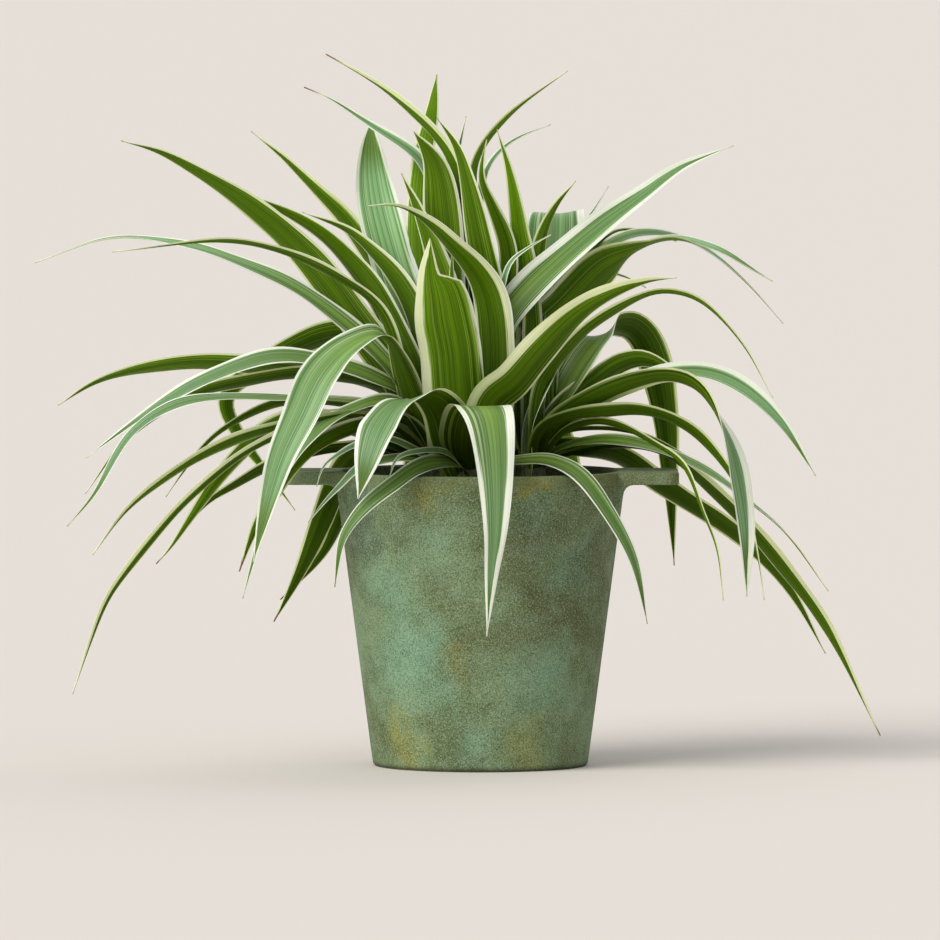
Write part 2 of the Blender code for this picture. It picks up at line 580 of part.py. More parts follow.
def blade_normals(spec, stations):
    """Which way the upper side faces at each station."""
    whole = stations[-1] - stations[0]
    outward = Vector((whole.x, whole.y, 0)).normalized()
    side = 1 if whole.x < 0 else -1
    front = Vector((0, -1, 0))
    normals = []
    for index in range(len(stations)):
        before = stations[max(0, index - 1)]
        after = stations[min(len(stations) - 1, index + 1)]
        along = (after - before).normalized()
        if spec["faces"] is None:
            normal = along.cross(Vector((0, 0, 1)).cross(outward))
        else:
            at = index / (len(stations) - 1) * (len(spec["faces"]) - 1)
            low = min(int(at), len(spec["faces"]) - 2)
            turn = spec["faces"][low] + (spec["faces"][low + 1] - spec["faces"][low]) * (at - low)
            facing = (front - along * front.dot(along)).normalized()
            rising = along.cross(facing) * side
            normal = facing * math.cos(math.radians(turn)) + rising * math.sin(math.radians(turn))
        normals.append((normal.normalized(), along))
    return normals


def blade(spec, name, collection):
    """One leaf: three rows of points, along its two margins and its midrib, given a thickness."""
    stations = midrib(spec, BLADE_STEP, FEWEST_STATIONS, MOST_STATIONS)
    bm = bmesh.new()
    rows = []
    for index, (place, (normal, along)) in enumerate(zip(stations, blade_normals(spec, stations))):
        t = index / (len(stations) - 1)
        half = blade_width(spec, t) / 2
        fold = math.radians(FOLD_BASE + (spec["fold"] - FOLD_BASE) * smooth_step(t * 4))
        across = normal.cross(along).normalized()
        lift = normal * half * math.sin(fold)
        spread = across * half * math.cos(fold)
        torn = 1.0
        if spec["shoulder"]:
            torn -= TORN_SHARE * smooth_step((t - spec["shoulder"]) / TORN_OVER)
        left = bm.verts.new(place + (lift - spread) * torn)
        rows.append([left, bm.verts.new(place), bm.verts.new(place + spread + lift)])
    for low, high in zip(rows, rows[1:]):
        for left in (0, 1):
            bm.faces.new((low[left], low[left + 1], high[left + 1], high[left]))
    bmesh.ops.triangulate(bm, faces=bm.faces)
    obj = object_from_bmesh(name, bm, collection)
    wall = obj.modifiers.new("thickness", "SOLIDIFY")
    wall.thickness = BLADE_THICK
    wall.offset = 0
    return obj


def drop_hollows(obj):
    """Removes the small closed hollows that crossing blades trap. Their skins face inwards."""
    bm = bmesh.new()
    bm.from_mesh(obj.data)
    left = set(bm.faces)
    hollow = []
    while left:
        island = []
        edge_of_island = [left.pop()]
        while edge_of_island:
            face = edge_of_island.pop()
            island.append(face)
            for edge in face.edges:
                for near in edge.link_faces:
                    if near in left:
                        left.remove(near)
                        edge_of_island.append(near)
        volume = sum(face.calc_area() * face.normal.dot(face.calc_center_median()) for face in island)
        if volume < 0:
            hollow.extend({vert for face in island for vert in face.verts})
    bmesh.ops.delete(bm, geom=hollow, context="VERTS")
    bm.to_mesh(obj.data)
    bm.free()


def make_crown(name, leaves, collection, finish):
    """A neck with all of its leaves, joined into one solid."""
    x, y = CROWNS[name]
    profile = [
        (0, MIX_LEVEL + NECK_RISE),
        (NECK_TOP_RADIUS, MIX_LEVEL + NECK_RISE),
        (NECK_FOOT_RADIUS, MIX_LEVEL + 2 * MM),
        (NECK_FOOT_RADIUS, MIX_LEVEL - NECK_DEPTH),
        (0, MIX_LEVEL - NECK_DEPTH),
    ]
    crown = turned(f"crown_{name}", profile, NECK_SIDES, collection, finish)
    crown.location = (x * MM, y * MM, 0)
    blades = new_collection(f"blades_{name}")
    for index, spec in enumerate(leaves):
        apply_modifiers(blade(spec, f"blade_{name}_{index:02d}", blades))
    boolean(crown, "UNION", solver="MANIFOLD", collection=blades)
    apply_modifiers(crown)
    remove_collection(blades)
    drop_hollows(crown)
    shade_round(crown, 50)
    return crown


def main():
    clear_scene()
    parts = new_collection("potted_spider_plant")
    cutters = new_collection("cutters")
    make_pot(parts, cutters, material("verdigris", (0.155, 0.235, 0.165), 0.7))
    make_mix(parts, cutters, material("potting_mix", (0.022, 0.015, 0.01), 0.95))
    leaves = [*SEEN_LEAVES, *back_leaves()]
    for name in CROWNS:
        own = [spec for spec in leaves if spec["crown"] == name]
        green = material(f"leaves_{name}", (0.13, 0.27, 0.05), 0.45)
        make_crown(name, own, parts, green)


if __name__ == "__main__":
    main()
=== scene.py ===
"""A potted spider plant: its leaves, potting mix, finishes, floor, light and camera.

Metres, with +Z up and +Y away from the front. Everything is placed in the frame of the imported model.
"""

import math
import random
from types import SimpleNamespace

import bmesh
import bpy
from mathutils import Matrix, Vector


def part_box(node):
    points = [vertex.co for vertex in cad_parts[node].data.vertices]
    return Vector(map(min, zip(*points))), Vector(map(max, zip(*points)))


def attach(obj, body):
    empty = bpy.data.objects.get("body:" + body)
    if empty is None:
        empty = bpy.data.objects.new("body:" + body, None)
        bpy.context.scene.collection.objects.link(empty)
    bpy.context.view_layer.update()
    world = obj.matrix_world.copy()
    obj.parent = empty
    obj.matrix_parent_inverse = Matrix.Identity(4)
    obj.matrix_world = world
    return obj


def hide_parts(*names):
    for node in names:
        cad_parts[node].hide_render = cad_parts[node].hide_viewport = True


MM = 0.001

# Camera: far off and almost level with the pot.
CAMERA_DISTANCE = 5.5
CAMERA_ELEVATION = 2.7
CAMERA_AIM = Vector((-0.005, 0, 0.1418))
CAMERA_SIGHT = 500
FRAME_WIDTH = 0.4512
SENSOR_WIDTH = 36.0
FLOOR_RADIUS = 120

# The crowns' necks and the mix they stand in, as in the part's own solids.
RIM_HEIGHT = 141.7 * MM
RIM_RADIUS = 70.0 * MM
FOOT_RADIUS = 51.5 * MM
WALL = 4.0 * MM
MIX_LEVEL = 130.0 * MM
MIX_LUMPS = 1.2 * MM
NECK_FOOT_RADIUS = 9.8 * MM
NECK_TOP_RADIUS = 6.5 * MM
NECK_RISE = 13.0 * MM
NECK_SINK = 4.0 * MM
NECK_SIDES = 36
ROOT_DEPTH = 5.0 * MM
ROOT_OFFSET = 3.0 * MM
COLLAR_OFFSET = 6.0 * MM
CROWNS = {"left": (-16, 0), "middle": (2, 14), "right": (24, 2), "front": (-4, -20), "back": (4, 40)}

# A neck has lobes, because leaf bases overlap like the scales of a bulb. They twist on the way up, by radians
# a metre.
LOBES = 5
LOBE_DEPTH = 0.07
LOBE_TWIST = 600.0

# Blades: the solids' widths and folds, on far more stations.
BLADE_THICK = 0.55 * MM
BLADE_STEP = 3.0 * MM
FEWEST_STATIONS = 24
MOST_STATIONS = 100
BLADE_COLUMNS = 22
BASE_SHARE = 0.35
FULL_BY = 0.22
TIP_WIDTH = 0.7 * MM
RIB_STEPS = 12
RIB_POINTS = 120
RIB_SMOOTHING = 12
FOLD_BASE = 52.0
FOLD_ROUNDNESS = 1.4
TORN_SHARE = 0.78
TORN_OVER = 0.05

# Waves of the edges. They are this high on a blade of common width, and each blade starts them elsewhere.
WAVE_HEIGHT = 0.55 * MM
WAVE_LENGTH = 46.0 * MM
WAVE_START = 40.0
WAVE_LAG = 1.1
COMMON_HALF_WIDTH = 7.0 * MM

# Pale margins as shares of the blade's width, and how light its green is.
MARGIN_SHARES = (0.06, 0.12)
WIDEST_MARGIN = 0.42
MARGIN_HOLD = 0.5
LIGHTNESS = (0.86, 1.14)
LEAF_SEED = 21

# The leaves nobody sees from the front lean away over the back rim. Each kind of them has a height over the
# mix, a reach, how far the tip drops from the top, and a width, in millimetres. Its leaves have shares of
# these, and start a little behind their crown's middle and over the mix.
HIDDEN_LEAVES = 13
HIDDEN_SPREAD = 40.0
HIDDEN_SEED = 7
HIDDEN_HABITS = ((88, 62, 6, 14), (66, 104, 38, 15), (30, 96, 96, 12))
HIDDEN_HEIGHTS = (0.86, 1.14)
HIDDEN_REACHES = (0.88, 1.12)
HIDDEN_WIDTHS = (0.8, 1.15)
HIDDEN_BEHIND = 4
HIDDEN_OVER = 12
HIDDEN_STEPS = (0.3, 0.55, 0.8, 1.0)
CREST_AT = 0.62
FALL_FROM = 0.55
GOLDEN_SHARE = 0.618

# What a leaf has where its own row says nothing else: widest is how far up the blade its full width ends, a
# taper over 1 keeps it broad for longer after that, and fold is how steep its channel still is past the base,
# in degrees. From shoulder on, a torn one has lost most of its left half. dry is the share of it that has
# browned, from the tip, margins are the shares of its width that are pale on the left and on the right, light
# is how light its green is, and where a leaf's own row gives it, it also paints how brightly lit or how
# shaded that leaf is. The last is how far it turns to its tip greens, which on the upper side are a painted
# grey sheen of the sky.
COMMON_LEAF = {
    "widest": 0.4, "taper": 1.6, "fold": 16.0, "shoulder": None, "dry": 0.0, "margins": None, "light": None,
    "bloom": 1.0,
}


def leaf(width, faces, *points, **own):
    """One leaf. Points run up its midrib in millimetres, and its width is in millimetres too.

    faces are degrees, evenly spaced from base to tip: at 0 the upper side faces the front, at 90 it faces up
    and out, and at 180 it faces the back. None keeps the blade level, with its upper side up and out.
    """
    points = [Vector(point) * MM for point in points]
    return SimpleNamespace(**{**COMMON_LEAF, **own}, width=width * MM, faces=faces, points=points)


# The first five rise to the upper left, from the front to the back. The others arch to the left.
LEFT_LEAVES = (
    leaf(13, (125, 115, 115, 105), (-36, -8, 184), (-48, -12, 217.5), (-67, -16, 233.5), (-96, -18, 247),
         (-125, -18, 252), (-176, -18, 247)),
    leaf(12, (60, 45, 60, 90), (-34, -3, 178), (-58, -2, 206), (-87, 0, 228), (-115, 2, 241), (-144, 4, 250),
         (-178, 6, 253), (-214, 8, 241)),
    leaf(20, (150, 160, 150, 130), (-39, 2, 183), (-58, 6, 209), (-72, 8, 229), (-86, 9, 245.5),
         (-102.5, 7, 261.5), (-125.5, 2.5, 278), (-151.5, -4, 293.5), (-172, -10, 300), margins=(0.06, 0.07),
         light=1.0),
    leaf(16, (150, 150, 145, 140), (-31, 6, 180), (-42, 12, 208), (-51, 15, 226), (-63, 18, 241),
         (-77, 19, 255), (-96, 20, 266), (-120, 18, 276)),
    leaf(16, (155, 155, 150, 130), (-27, 8, 199), (-33, 14, 220), (-41, 18, 234), (-53, 22, 247),
         (-65, 25, 257), (-86, 28, 265)),
    leaf(20, (160, 155, 130, 78, 25, 14, 10, 10), (-31, -8, 165), (-38.5, -16, 190), (-47, -29, 207.5),
         (-62, -42, 203), (-72.5, -51, 194), (-79, -55, 184.5), (-84, -59, 173), (-94, -64, 152),
         (-100.8, -66, 130), (-107.8, -66, 101), widest=0.6, margins=(0.07, 0.08), light=1.08, bloom=0.9),
    leaf(12, (110, 125, 140, 150), (-35, -8, 165), (-58, -17, 163), (-77, -25, 155), (-91, -31, 143),
         (-101, -34, 127), (-109, -35, 112), (-115, -36, 95), widest=0.6, dry=0.04),
    leaf(10, (70, 60, 50, 40), (-39, -11, 174), (-63, -22, 171), (-82, -34, 158), (-94, -44, 141),
         (-102, -50, 121), (-113, -53, 83), widest=0.52),
    leaf(13, (130, 140, 140, 120), (-39, 8, 175), (-63, 15, 187), (-87, 21, 189.5), (-111, 26, 190.5),
         (-144, 31, 191.5), (-182, 34, 184), (-204, 34, 171.5), widest=0.5, taper=2.3),
    leaf(12, (90, 55, 50, 60), (-34, 0, 175), (-48, 0, 184), (-65, 0, 191), (-98, 0, 196), (-127, -2, 187),
         (-154, -6, 173), (-189, -10, 148), widest=0.6, margins=(0.1, 0.12), light=0.85),
    leaf(11, (120, 130, 130, 110), (-39, 10, 176), (-63, 12, 185), (-87, 13, 187), (-115, 12, 183),
         (-141, 10, 176), (-170, 8, 156), (-190, 6, 130), widest=0.5),
    leaf(9, (110, 80, 60, 50), (-39, -4, 169), (-67, -8, 175), (-94, -11, 176), (-121, -15, 177),
         (-146, -19, 173.5), (-165, -22, 161.8), (-176, -23, 146), (-184.6, -24, 130.5),
         (-197.5, -24, 115.8), widest=0.65, light=0.82),
    leaf(9, (120, 130, 130, 120), (-40, 2, 168), (-72, 4, 174), (-95, 3, 174), (-113, 1, 167),
         (-130, -1, 156), (-144, -3, 139), (-151, -4, 129)),
    leaf(9.5, (120, 125, 130, 120), (-48, -10, 167), (-72, -20, 168), (-95, -27, 163.5), (-115, -30, 158),
         (-143, -34, 144), (-168, -37, 125), (-185, -38, 103), widest=0.6, margins=(0.2, 0.1)),
    leaf(12, (145, 150, 150, 145), (-48, -4, 158), (-80, -10, 167), (-98, -14, 164), (-112, -17, 153),
         (-125, -21, 139), (-137, -23, 122), (-148, -24, 106), (-155, -24, 98), widest=0.5, dry=0.02,
         light=1.2),
    leaf(6, (125, 135, 140, 130), (-39, -12, 162), (-58, -20, 169), (-80, -29, 167), (-98.6, -36, 159),
         (-117, -40, 148.8), (-138.5, -44, 130.7), (-153.8, -47, 114), (-168.2, -49, 96), (-179.8, -51, 78),
         (-194.2, -52, 37.4), widest=0.7, margins=(0.28, 0.1)),
    leaf(9, (110, 130, 140, 140), (-45, 4, 152), (-70, 8, 151.5), (-87, 10, 148.6), (-102, 10, 142.8),
         (-118, 8, 134), (-130, 6, 127), (-140, 4, 116), widest=0.6, taper=1.8, light=0.8, bloom=0.4),
    leaf(7, (90, 60, 40, 30), (-35, -16, 148), (-50, -34, 147), (-59, -43, 144), (-66, -46, 137),
         (-74, -49, 129), (-82, -50, 119)),
    leaf(7, (80, 60, 50), (-43, -18, 157), (-59, -30, 155), (-69, -37, 150), (-75, -40, 145),
         (-78, -42, 136)),
)
# The leaves of the middle stand upright, but for the last, which leans far to the right.
MIDDLE_LEAVES = (
    leaf(22.5, (15, 10, 10, 15), (-10, 20, 170), (-30, 26, 207), (-41, 36, 235), (-50, 47, 267),
         (-53, 54, 290), (-53, 60, 309), widest=0.62, taper=3.4, margins=(0.09, 0.09), light=1.25),
    leaf(12, (125, 130, 130, 120), (-1, 20, 221), (-5, 23, 260), (-13.7, 27, 288.8), (-18.5, 30, 297.4),
         (-27, 31, 307.5), (-43.4, 34, 321.8), (-58, 38, 331.5), (-74.6, 40, 340.8), widest=0.6, dry=0.03,
         margins=(0.24, 0.1)),
    leaf(14, (60, 50, 50, 60), (-4, 22, 200), (-12, 27, 240), (-22, 33, 276), (-29, 36, 289.4),
         (-33.8, 37, 294.2), (-53, 41, 306.4), (-72.2, 44, 319), (-85.2, 46, 324.8), widest=0.5, dry=0.03,
         margins=(0.12, 0.14)),
    leaf(11, (170, 170, 165, 160), (-18, 26, 190), (-30, 36, 238), (-30.8, 41, 269), (-28.3, 44, 292),
         (-23.8, 45, 312.3), (-21, 46, 331), widest=0.75, taper=2.7, margins=(0.09, 0.1), light=1.3),
    leaf(15, (160, 165, 160, 150), (-4, 12, 190), (-15, 11, 222), (-22, 12, 244), (-27, 13, 258),
         (-32, 14, 271), (-38, 14, 284), widest=0.6),
    leaf(22, (165, 165, 160, 150), (-7, 16, 195), (-17.5, 18, 224), (-18.5, 20, 246), (-19.5, 20, 266),
         (-22.5, 18, 288), (-32, 14, 304), widest=0.72, taper=2.0, margins=(0.07, 0.07), light=0.95),
    leaf(17, (160, 160, 155, 145), (5, 8, 195), (4, 6, 222), (1.5, 5, 238), (-3, 5, 261), (-7, 5, 281),
         (-11.5, 5, 297), (-21, 5, 311), widest=0.55),
    leaf(11, (60, 60, 60, 60), (-4, 22, 215), (-7, 27, 255), (-12, 32, 285), (-10, 35, 298), (-7, 37, 311),
         widest=0.6),
    leaf(9, (150, 150, 150, 150), (-6, 6, 180), (-12, 4, 218), (-14, 3, 236), (-13, 2, 250), widest=0.5),
    leaf(11, (125, 125, 120, 110), (1, 22, 225), (-2, 23, 260), (-3, 24, 284), (1.5, 24, 296), (9, 24, 306),
         (19, 26, 316), (42, 30, 333), widest=0.6),
    leaf(12, (155, 155, 150, 140), (9, 18, 208), (13, 18, 244), (6, 19, 266), (0, 19, 282), (3, 20, 300),
         widest=0.6),
    leaf(12, (60, 60, 60, 70), (0, 26, 230), (0, 29, 266), (3, 32, 284), (8, 33, 292.5), (17, 34, 300),
         (34, 36, 307), widest=0.5),
    leaf(18, (30, 25, 25, 40), (4, 8, 180), (9, 8, 208), (20, 11, 225), (38, 19, 242), (57, 29, 258),
         (77, 42, 272), (97, 56, 286), (123, 74, 296), margins=(0.2, 0.13), light=1.02, bloom=0.75),
)
# The first nine rise to the upper right. The others arch to the right.
RIGHT_LEAVES = (
    leaf(14, (165, 170, 165, 150), (24, 15, 190), (21.5, 20, 236), (19, 21, 252), (17, 21, 267),
         (13.5, 20, 286), (8, 18, 305), widest=0.5, margins=(0.08, 0.1), light=1.35),
    leaf(12, (160, 160, 150, 140), (26, 18, 215), (28, 23, 244), (31, 26, 257), (37, 28, 269), (46, 30, 280),
         widest=0.6),
    leaf(9, (70, 60, 60), (30, 24, 215), (45, 36, 251), (54, 41, 264), (62, 44, 277)),
    leaf(24, (170, 170, 168, 166, 164, 160, 150, 92, 76, 72, 70), (29, 18, 203), (40, 24, 217),
         (49.7, 30, 227.6), (58.3, 32, 237), (67, 34, 242.2), (75.6, 36, 246.2), (86.2, 38, 250.5),
         (95.8, 41, 251.5), (105.4, 43, 249), (115, 44, 246), (124.6, 45, 240.7), (134, 46, 235),
         (141.4, 46, 231), widest=0.45, margins=(0.05, 0.07), light=1.1),
    leaf(10, (60, 45, 60, 90), (30, 26, 205), (50, 38, 238), (69, 47, 252), (84, 52, 254), (96, 55, 252),
         (111, 57, 245), (130, 59, 229), (147, 60, 210)),
    leaf(8, (130, 125, 120), (28, 26, 205), (50, 38, 240), (58, 45, 250), (66, 50, 255.6), (71.8, 52, 256),
         (78.5, 54, 255.3), (86, 56, 253.4), (95, 58, 250)),
    leaf(8, (60, 50, 50), (34, 20, 205), (48, 32, 226), (58, 40, 234.5), (66, 42, 234.5), (74, 43, 231.5),
         (80, 44, 228)),
    leaf(11, (140, 130, 110, 100), (29, -6, 180), (42, -12, 200), (57, -12, 213.5), (77, -11, 225),
         (90, -11, 227.5), (107, -12, 222), (126, -14, 202), (140, -16, 177)),
    leaf(12, (70, 60, 60), (24, -2, 162), (29, -2, 177), (36, -2, 190), (44, -3, 206), widest=0.5),
    leaf(18, (50, 49, 47, 46, 44, 43, 52, 120, 157, 162, 163, 163, 163, 164, 164, 165, 165), (31, 14, 162),
         (41, 19, 180), (48.5, 23, 192), (54.5, 28, 200), (59.5, 34, 205), (63.5, 42, 207.8),
         (67.5, 50, 209), (72.3, 56, 209), (77, 60, 206), (81.2, 62, 199.5), (84.6, 63, 190),
         (87.4, 63, 177), (89.8, 62, 162), (91, 60, 148), (92.5, 56, 122), (94, 52, 93), widest=0.62,
         taper=1.0, margins=(0.06, 0.07), light=0.7),
    leaf(13, (90, 85, 75, 50, 35, 30), (38, 3, 165), (57, 4, 177), (77, 5, 184.8), (93, 5, 188.4),
         (108.5, 4, 188.4), (122.6, 2, 183.4), (136, -1, 173.3), (148.6, -4, 159.2), (160.6, -8, 139.2),
         widest=0.6, margins=(0.2, 0.08), light=1.05),
    leaf(14, (150, 150, 145), (38, 16, 168), (57, 21, 184), (67, 23, 191), (76.6, 24, 194),
         (84.2, 24, 192.3), (92, 24, 188.5), (101.5, 24, 181.7), widest=0.6, margins=(0.06, 0.06),
         light=0.85),
    leaf(15, (150, 150, 120, 40, 20), (36, -6, 163), (57, -14, 177), (77, -20, 185), (92, -25, 187),
         (105.5, -28, 180), (118, -32, 157), (126, -35, 119), (127, -36, 83), widest=0.7,
         margins=(0.26, 0.08), light=0.92),
    leaf(11, (120, 130, 120, 100), (29, -11, 161), (44, -14, 168), (60, -16, 170), (74, -15, 171),
         (90, -13, 167), (107, -11, 156), (124, -11, 132), (133, -12, 100), (136, -13, 80)),
    leaf(8, (120, 120, 110, 110), (40, -3, 160), (56, -9, 165), (68, -14, 163), (83, -23, 155),
         (97, -31, 145), (106, -34, 123), (113, -35, 105), (116, -35, 81)),
    leaf(9, (80, 55, 70, 120), (38, 0, 151), (57, 0, 156), (80, 0, 153), (105, -1, 143), (128, -3, 127),
         (147, -5, 111), (167, -8, 84)),
    leaf(8, (110, 110, 100), (38, 8, 158), (57, 9, 161), (77, 10, 158), (95, 10, 150), (113, 9, 139),
         (121, 8, 133)),
    leaf(10, (110, 110, 140, 140, 120), (38, 12, 147), (56, 15, 151), (77, 17, 152), (91, 18.5, 147.6),
         (104, 20, 137.6), (122, 21, 121), (139, 22, 102), (156, 23, 80.5), (170, 24, 59.4), (182, 24, 35),
         (193, 24, 12.3), widest=0.6, margins=(0.06, 0.2), dry=0.02, light=0.85),
)
# The leaves nearest the viewer, some of which hang over the rim.
FRONT_LEAVES = (
    leaf(22, (160, 155, 140, 105), (5, -12, 175), (6, -7, 205), (3, -6, 226), (-4, -8, 239), (-14, -10, 250),
         (-24, -13, 260), (-39, -16, 269), (-54, -18, 269), widest=0.5, taper=1.3, margins=(0.16, 0.07),
         light=1.0),
    leaf(31, (180, 180, 175, 170), (-13, -25, 182), (-14.5, -27, 200), (-17, -29, 213), (-19, -31, 226),
         (-21.5, -32, 236), (-24, -34, 254), widest=0.64, taper=2.0, shoulder=0.82, margins=(0.045, 0.15),
         light=1.15),
    leaf(21, (165, 160, 150, 130), (4, -28, 174), (16, -33, 185), (29.5, -38, 201.5), (43.5, -44, 216.5),
         (59, -50, 227), (77, -56, 234), (93, -60, 236), margins=(0.05, 0.2), light=1.0),
    leaf(26, None, (-8, -32, 154), (-5, -46, 170), (1, -66, 175), (5, -81, 166), (7, -88, 143),
         (7, -89, 117), (5, -87, 95), (3, -84, 67), taper=1.0, fold=5, margins=(0.16, 0.1), light=0.92,
         bloom=0.9),
    leaf(27, (170, 160, 110, 35, 10), (-14, -30, 160), (-18, -38, 171), (-26, -50, 178), (-39, -63, 176),
         (-47.5, -74, 166), (-53, -80, 152), (-58, -81, 132), widest=0.6, fold=9, margins=(0.07, 0.09),
         light=0.84, bloom=0.85),
    leaf(10, (90, 50, 20, 15), (-20, -42, 147.4), (-31, -60, 145), (-41, -72, 138.5), (-52, -77, 130.5),
         (-60, -79, 122), (-66, -79, 111), (-69, -78, 90), fold=10, margins=(0.05, 0.05), light=0.9,
         bloom=0.35),
    leaf(6, (90, 60, 40), (-18, -34, 152), (-33, -46, 152), (-40, -53, 149), (-43, -62, 142)),
    leaf(11, (100, 60, 30, 15), (24, -32, 148), (38, -49, 147), (48, -60, 141.2), (58, -68, 128.5),
         (68, -72, 112.5), (74, -72, 97), (79, -70, 72), fold=8, margins=(0.06, 0.08), light=0.82,
         bloom=0.4),
    leaf(8, (50, 50, 45), (2, -6, 185), (8, -2, 212), (11, -5, 231), (14.5, -9, 242), (19.9, -9, 246.5),
         (26.6, -9, 251), (33.8, -9, 255)),
)
# The leaves of the back that show between the others.
BACK_LEAVES = (
    leaf(20, (150, 150, 145, 140), (-20, 46, 190), (-46, 48, 232), (-65, 51, 260), (-75.6, 51, 271),
         (-88.5, 52, 284), (-94.8, 52, 290.5), (-111, 52, 303.5), taper=1.4),
    leaf(32, None, (14, 42, 175), (31, 46, 218), (36, 52, 245), (37, 63, 261), (37, 80, 262), (37, 102, 247),
         (37, 120, 214), widest=0.5, fold=5, margins=(0.03, 0.1)),
    leaf(14, (110, 140, 150, 140), (34, 36, 150), (56, 38, 149), (70, 39, 145), (80, 40, 137),
         (100, 40, 124), (127, 40, 106), (150, 40, 81), (167, 40, 51), light=0.8),
    leaf(17, (150, 150, 150, 150), (-30, 44, 182), (-52, 49, 201), (-70, 54, 205), (-90, 60, 198),
         (-112, 66, 185), (-123.6, 68, 174.8), (-122.4, 69, 166), (-116, 70, 154), (-104, 70, 137.8),
         (-90, 67, 119)),
    leaf(16, (90, 140, 155, 150), (-30, 36, 150), (-50, 40, 150), (-61, 43, 145), (-69, 45, 133),
         (-76, 46, 116), (-86, 47, 92), (-100, 47, 66), widest=0.5, dry=0.03, light=0.75),
    leaf(11, (90, 140, 150), (-28, 46, 150), (-46, 52, 149), (-57, 55, 141), (-65, 56, 124), (-75, 57, 100),
         (-97, 58, 76), widest=0.5, dry=0.03, light=0.75),
)


def hidden_leaves():
    """The hidden side of the clump: upright, arching and drooping leaves in turn, all leaning away."""
    chance = random.Random(HIDDEN_SEED)
    x, y = CROWNS["back"]
    leaves = []
    for index in range(HIDDEN_LEAVES):
        height, reach, drop, width = HIDDEN_HABITS[index % len(HIDDEN_HABITS)]
        share = (index * GOLDEN_SHARE) % 1
        turn = math.radians(90 + HIDDEN_SPREAD * (2 * share - 1))
        height *= chance.uniform(*HIDDEN_HEIGHTS)
        reach *= chance.uniform(*HIDDEN_REACHES)
        points = []
        for step in HIDDEN_STEPS:
            out = reach * step**1.1
            fall = drop * (max(0, step - FALL_FROM) / (1 - FALL_FROM)) ** 1.6
            up = height * math.sin(math.pi / 2 * min(1, step / CREST_AT)) - fall
            back = y + HIDDEN_BEHIND + out * math.sin(turn)
            points.append((x + out * math.cos(turn), back, MIX_LEVEL / MM + HIDDEN_OVER + up))
        leaves.append(leaf(width * chance.uniform(*HIDDEN_WIDTHS), None, *points))
    return leaves


def linear(colour):
    """A colour as a screen shows it, 0 to 255, turned into the values that shaders work in."""
    shares = [value / 255 for value in colour]
    return (*(x / 12.92 if x <= 0.04045 else ((x + 0.055) / 1.055) ** 2.4 for x in shares), 1.0)


def new_object(name, data):
    obj = bpy.data.objects.new(name, data)
    bpy.context.scene.collection.objects.link(obj)
    return obj


def object_from(bm, name, finish):
    """Keeps what was built in a bmesh as an object with one finish."""
    mesh = bpy.data.meshes.new(name)
    bm.to_mesh(mesh)
    bm.free()
    mesh.materials.append(finish)
    return new_object(name, mesh)


def shade_round(obj, angle):
    obj.data.shade_smooth()
    obj.data.set_sharp_from_angle(angle=math.radians(angle))


# Nodes, for geometry and shaders alike.

class Signal:
    """What a node gives from one output. It adds, subtracts, multiplies and divides like a number."""

    def __init__(self, socket):
        self.socket = socket
        self.tree = socket.id_data

    def __add__(self, other):
        return maths("ADD", self, other)

    def __sub__(self, other):
        return maths("SUBTRACT", self, other)

    def __rsub__(self, other):
        return maths("SUBTRACT", other, self)

    def __mul__(self, other):
        return maths("MULTIPLY", self, other)

    def __truediv__(self, other):
        return maths("DIVIDE", self, other)


def tree_of(values):
    """The node tree of the first signal among these values."""
    return next(value.tree for value in values if isinstance(value, Signal))


def fill(socket, value):
    """Feeds a socket with a signal or with a plain value."""
    if isinstance(value, Signal):
        value.tree.links.new(value.socket, socket)
    else:
        socket.default_value = value


def add_node(tree, kind, inputs=None, **settings):
    """A node with its settings, and its inputs by name or by place."""
    node = tree.nodes.new(kind)
    for name, value in settings.items():
        setattr(node, name, value)
    for key, value in (inputs or {}).items():
        fill(node.inputs[key], value)
    return node


def signal(tree, kind, inputs=None, output=0, **settings):
    """What a new node gives from one of its outputs."""
    return Signal(add_node(tree, kind, inputs, **settings).outputs[output])


def maths(operation, *values):
    return signal(tree_of(values), "ShaderNodeMath", dict(enumerate(values)), operation=operation)


def vectors(operation, *values, **more):
    inputs = {**dict(enumerate(values)), **more}
    output = "Value" if operation == "DISTANCE" else "Vector"
    return signal(tree_of(values), "ShaderNodeVectorMath", inputs, output, operation=operation)


def joined(*values):
    return signal(tree_of(values), "ShaderNodeCombineXYZ", dict(enumerate(values)))


def split(vector):
    """The X, Y and Z of a vector."""
    return [Signal(socket) for socket in add_node(vector.tree, "ShaderNodeSeparateXYZ", {0: vector}).outputs]


def ramp(value, low, high, to_low=0.0, to_high=1.0, kind="SMOOTHSTEP"):
    """Moves value from the range low to high into the range to_low to to_high."""
    inputs = {"Value": value, "From Min": low, "From Max": high, "To Min": to_low, "To Max": to_high}
    return signal(value.tree, "ShaderNodeMapRange", inputs, "Result", interpolation_type=kind)


def noise(vector, scale=1.0, detail=2.0, roughness=0.5, distortion=0.0, output=0):
    inputs = {
        "Vector": vector, "Scale": scale, "Detail": detail, "Roughness": roughness, "Distortion": distortion}
    return signal(vector.tree, "ShaderNodeTexNoise", inputs, output)


def mixed(factor, first, second, blend="MIX"):
    """Mixes two colours, which are signals or colours as a screen shows them."""
    first, second = (linear(colour) if isinstance(colour, tuple) else colour for colour in (first, second))
    inputs = {0: factor, 6: first, 7: second}
    return signal(tree_of(inputs.values()), "ShaderNodeMix", inputs, 2, data_type="RGBA", blend_type=blend)


def shaded(colour, light):
    """A colour made darker by a light under 1, and lighter by one over 1."""
    return mixed(1.0, colour, joined(light, light, light), "MULTIPLY")


SOCKET_KINDS = {float: "Float", int: "Int", tuple: "Vector"}


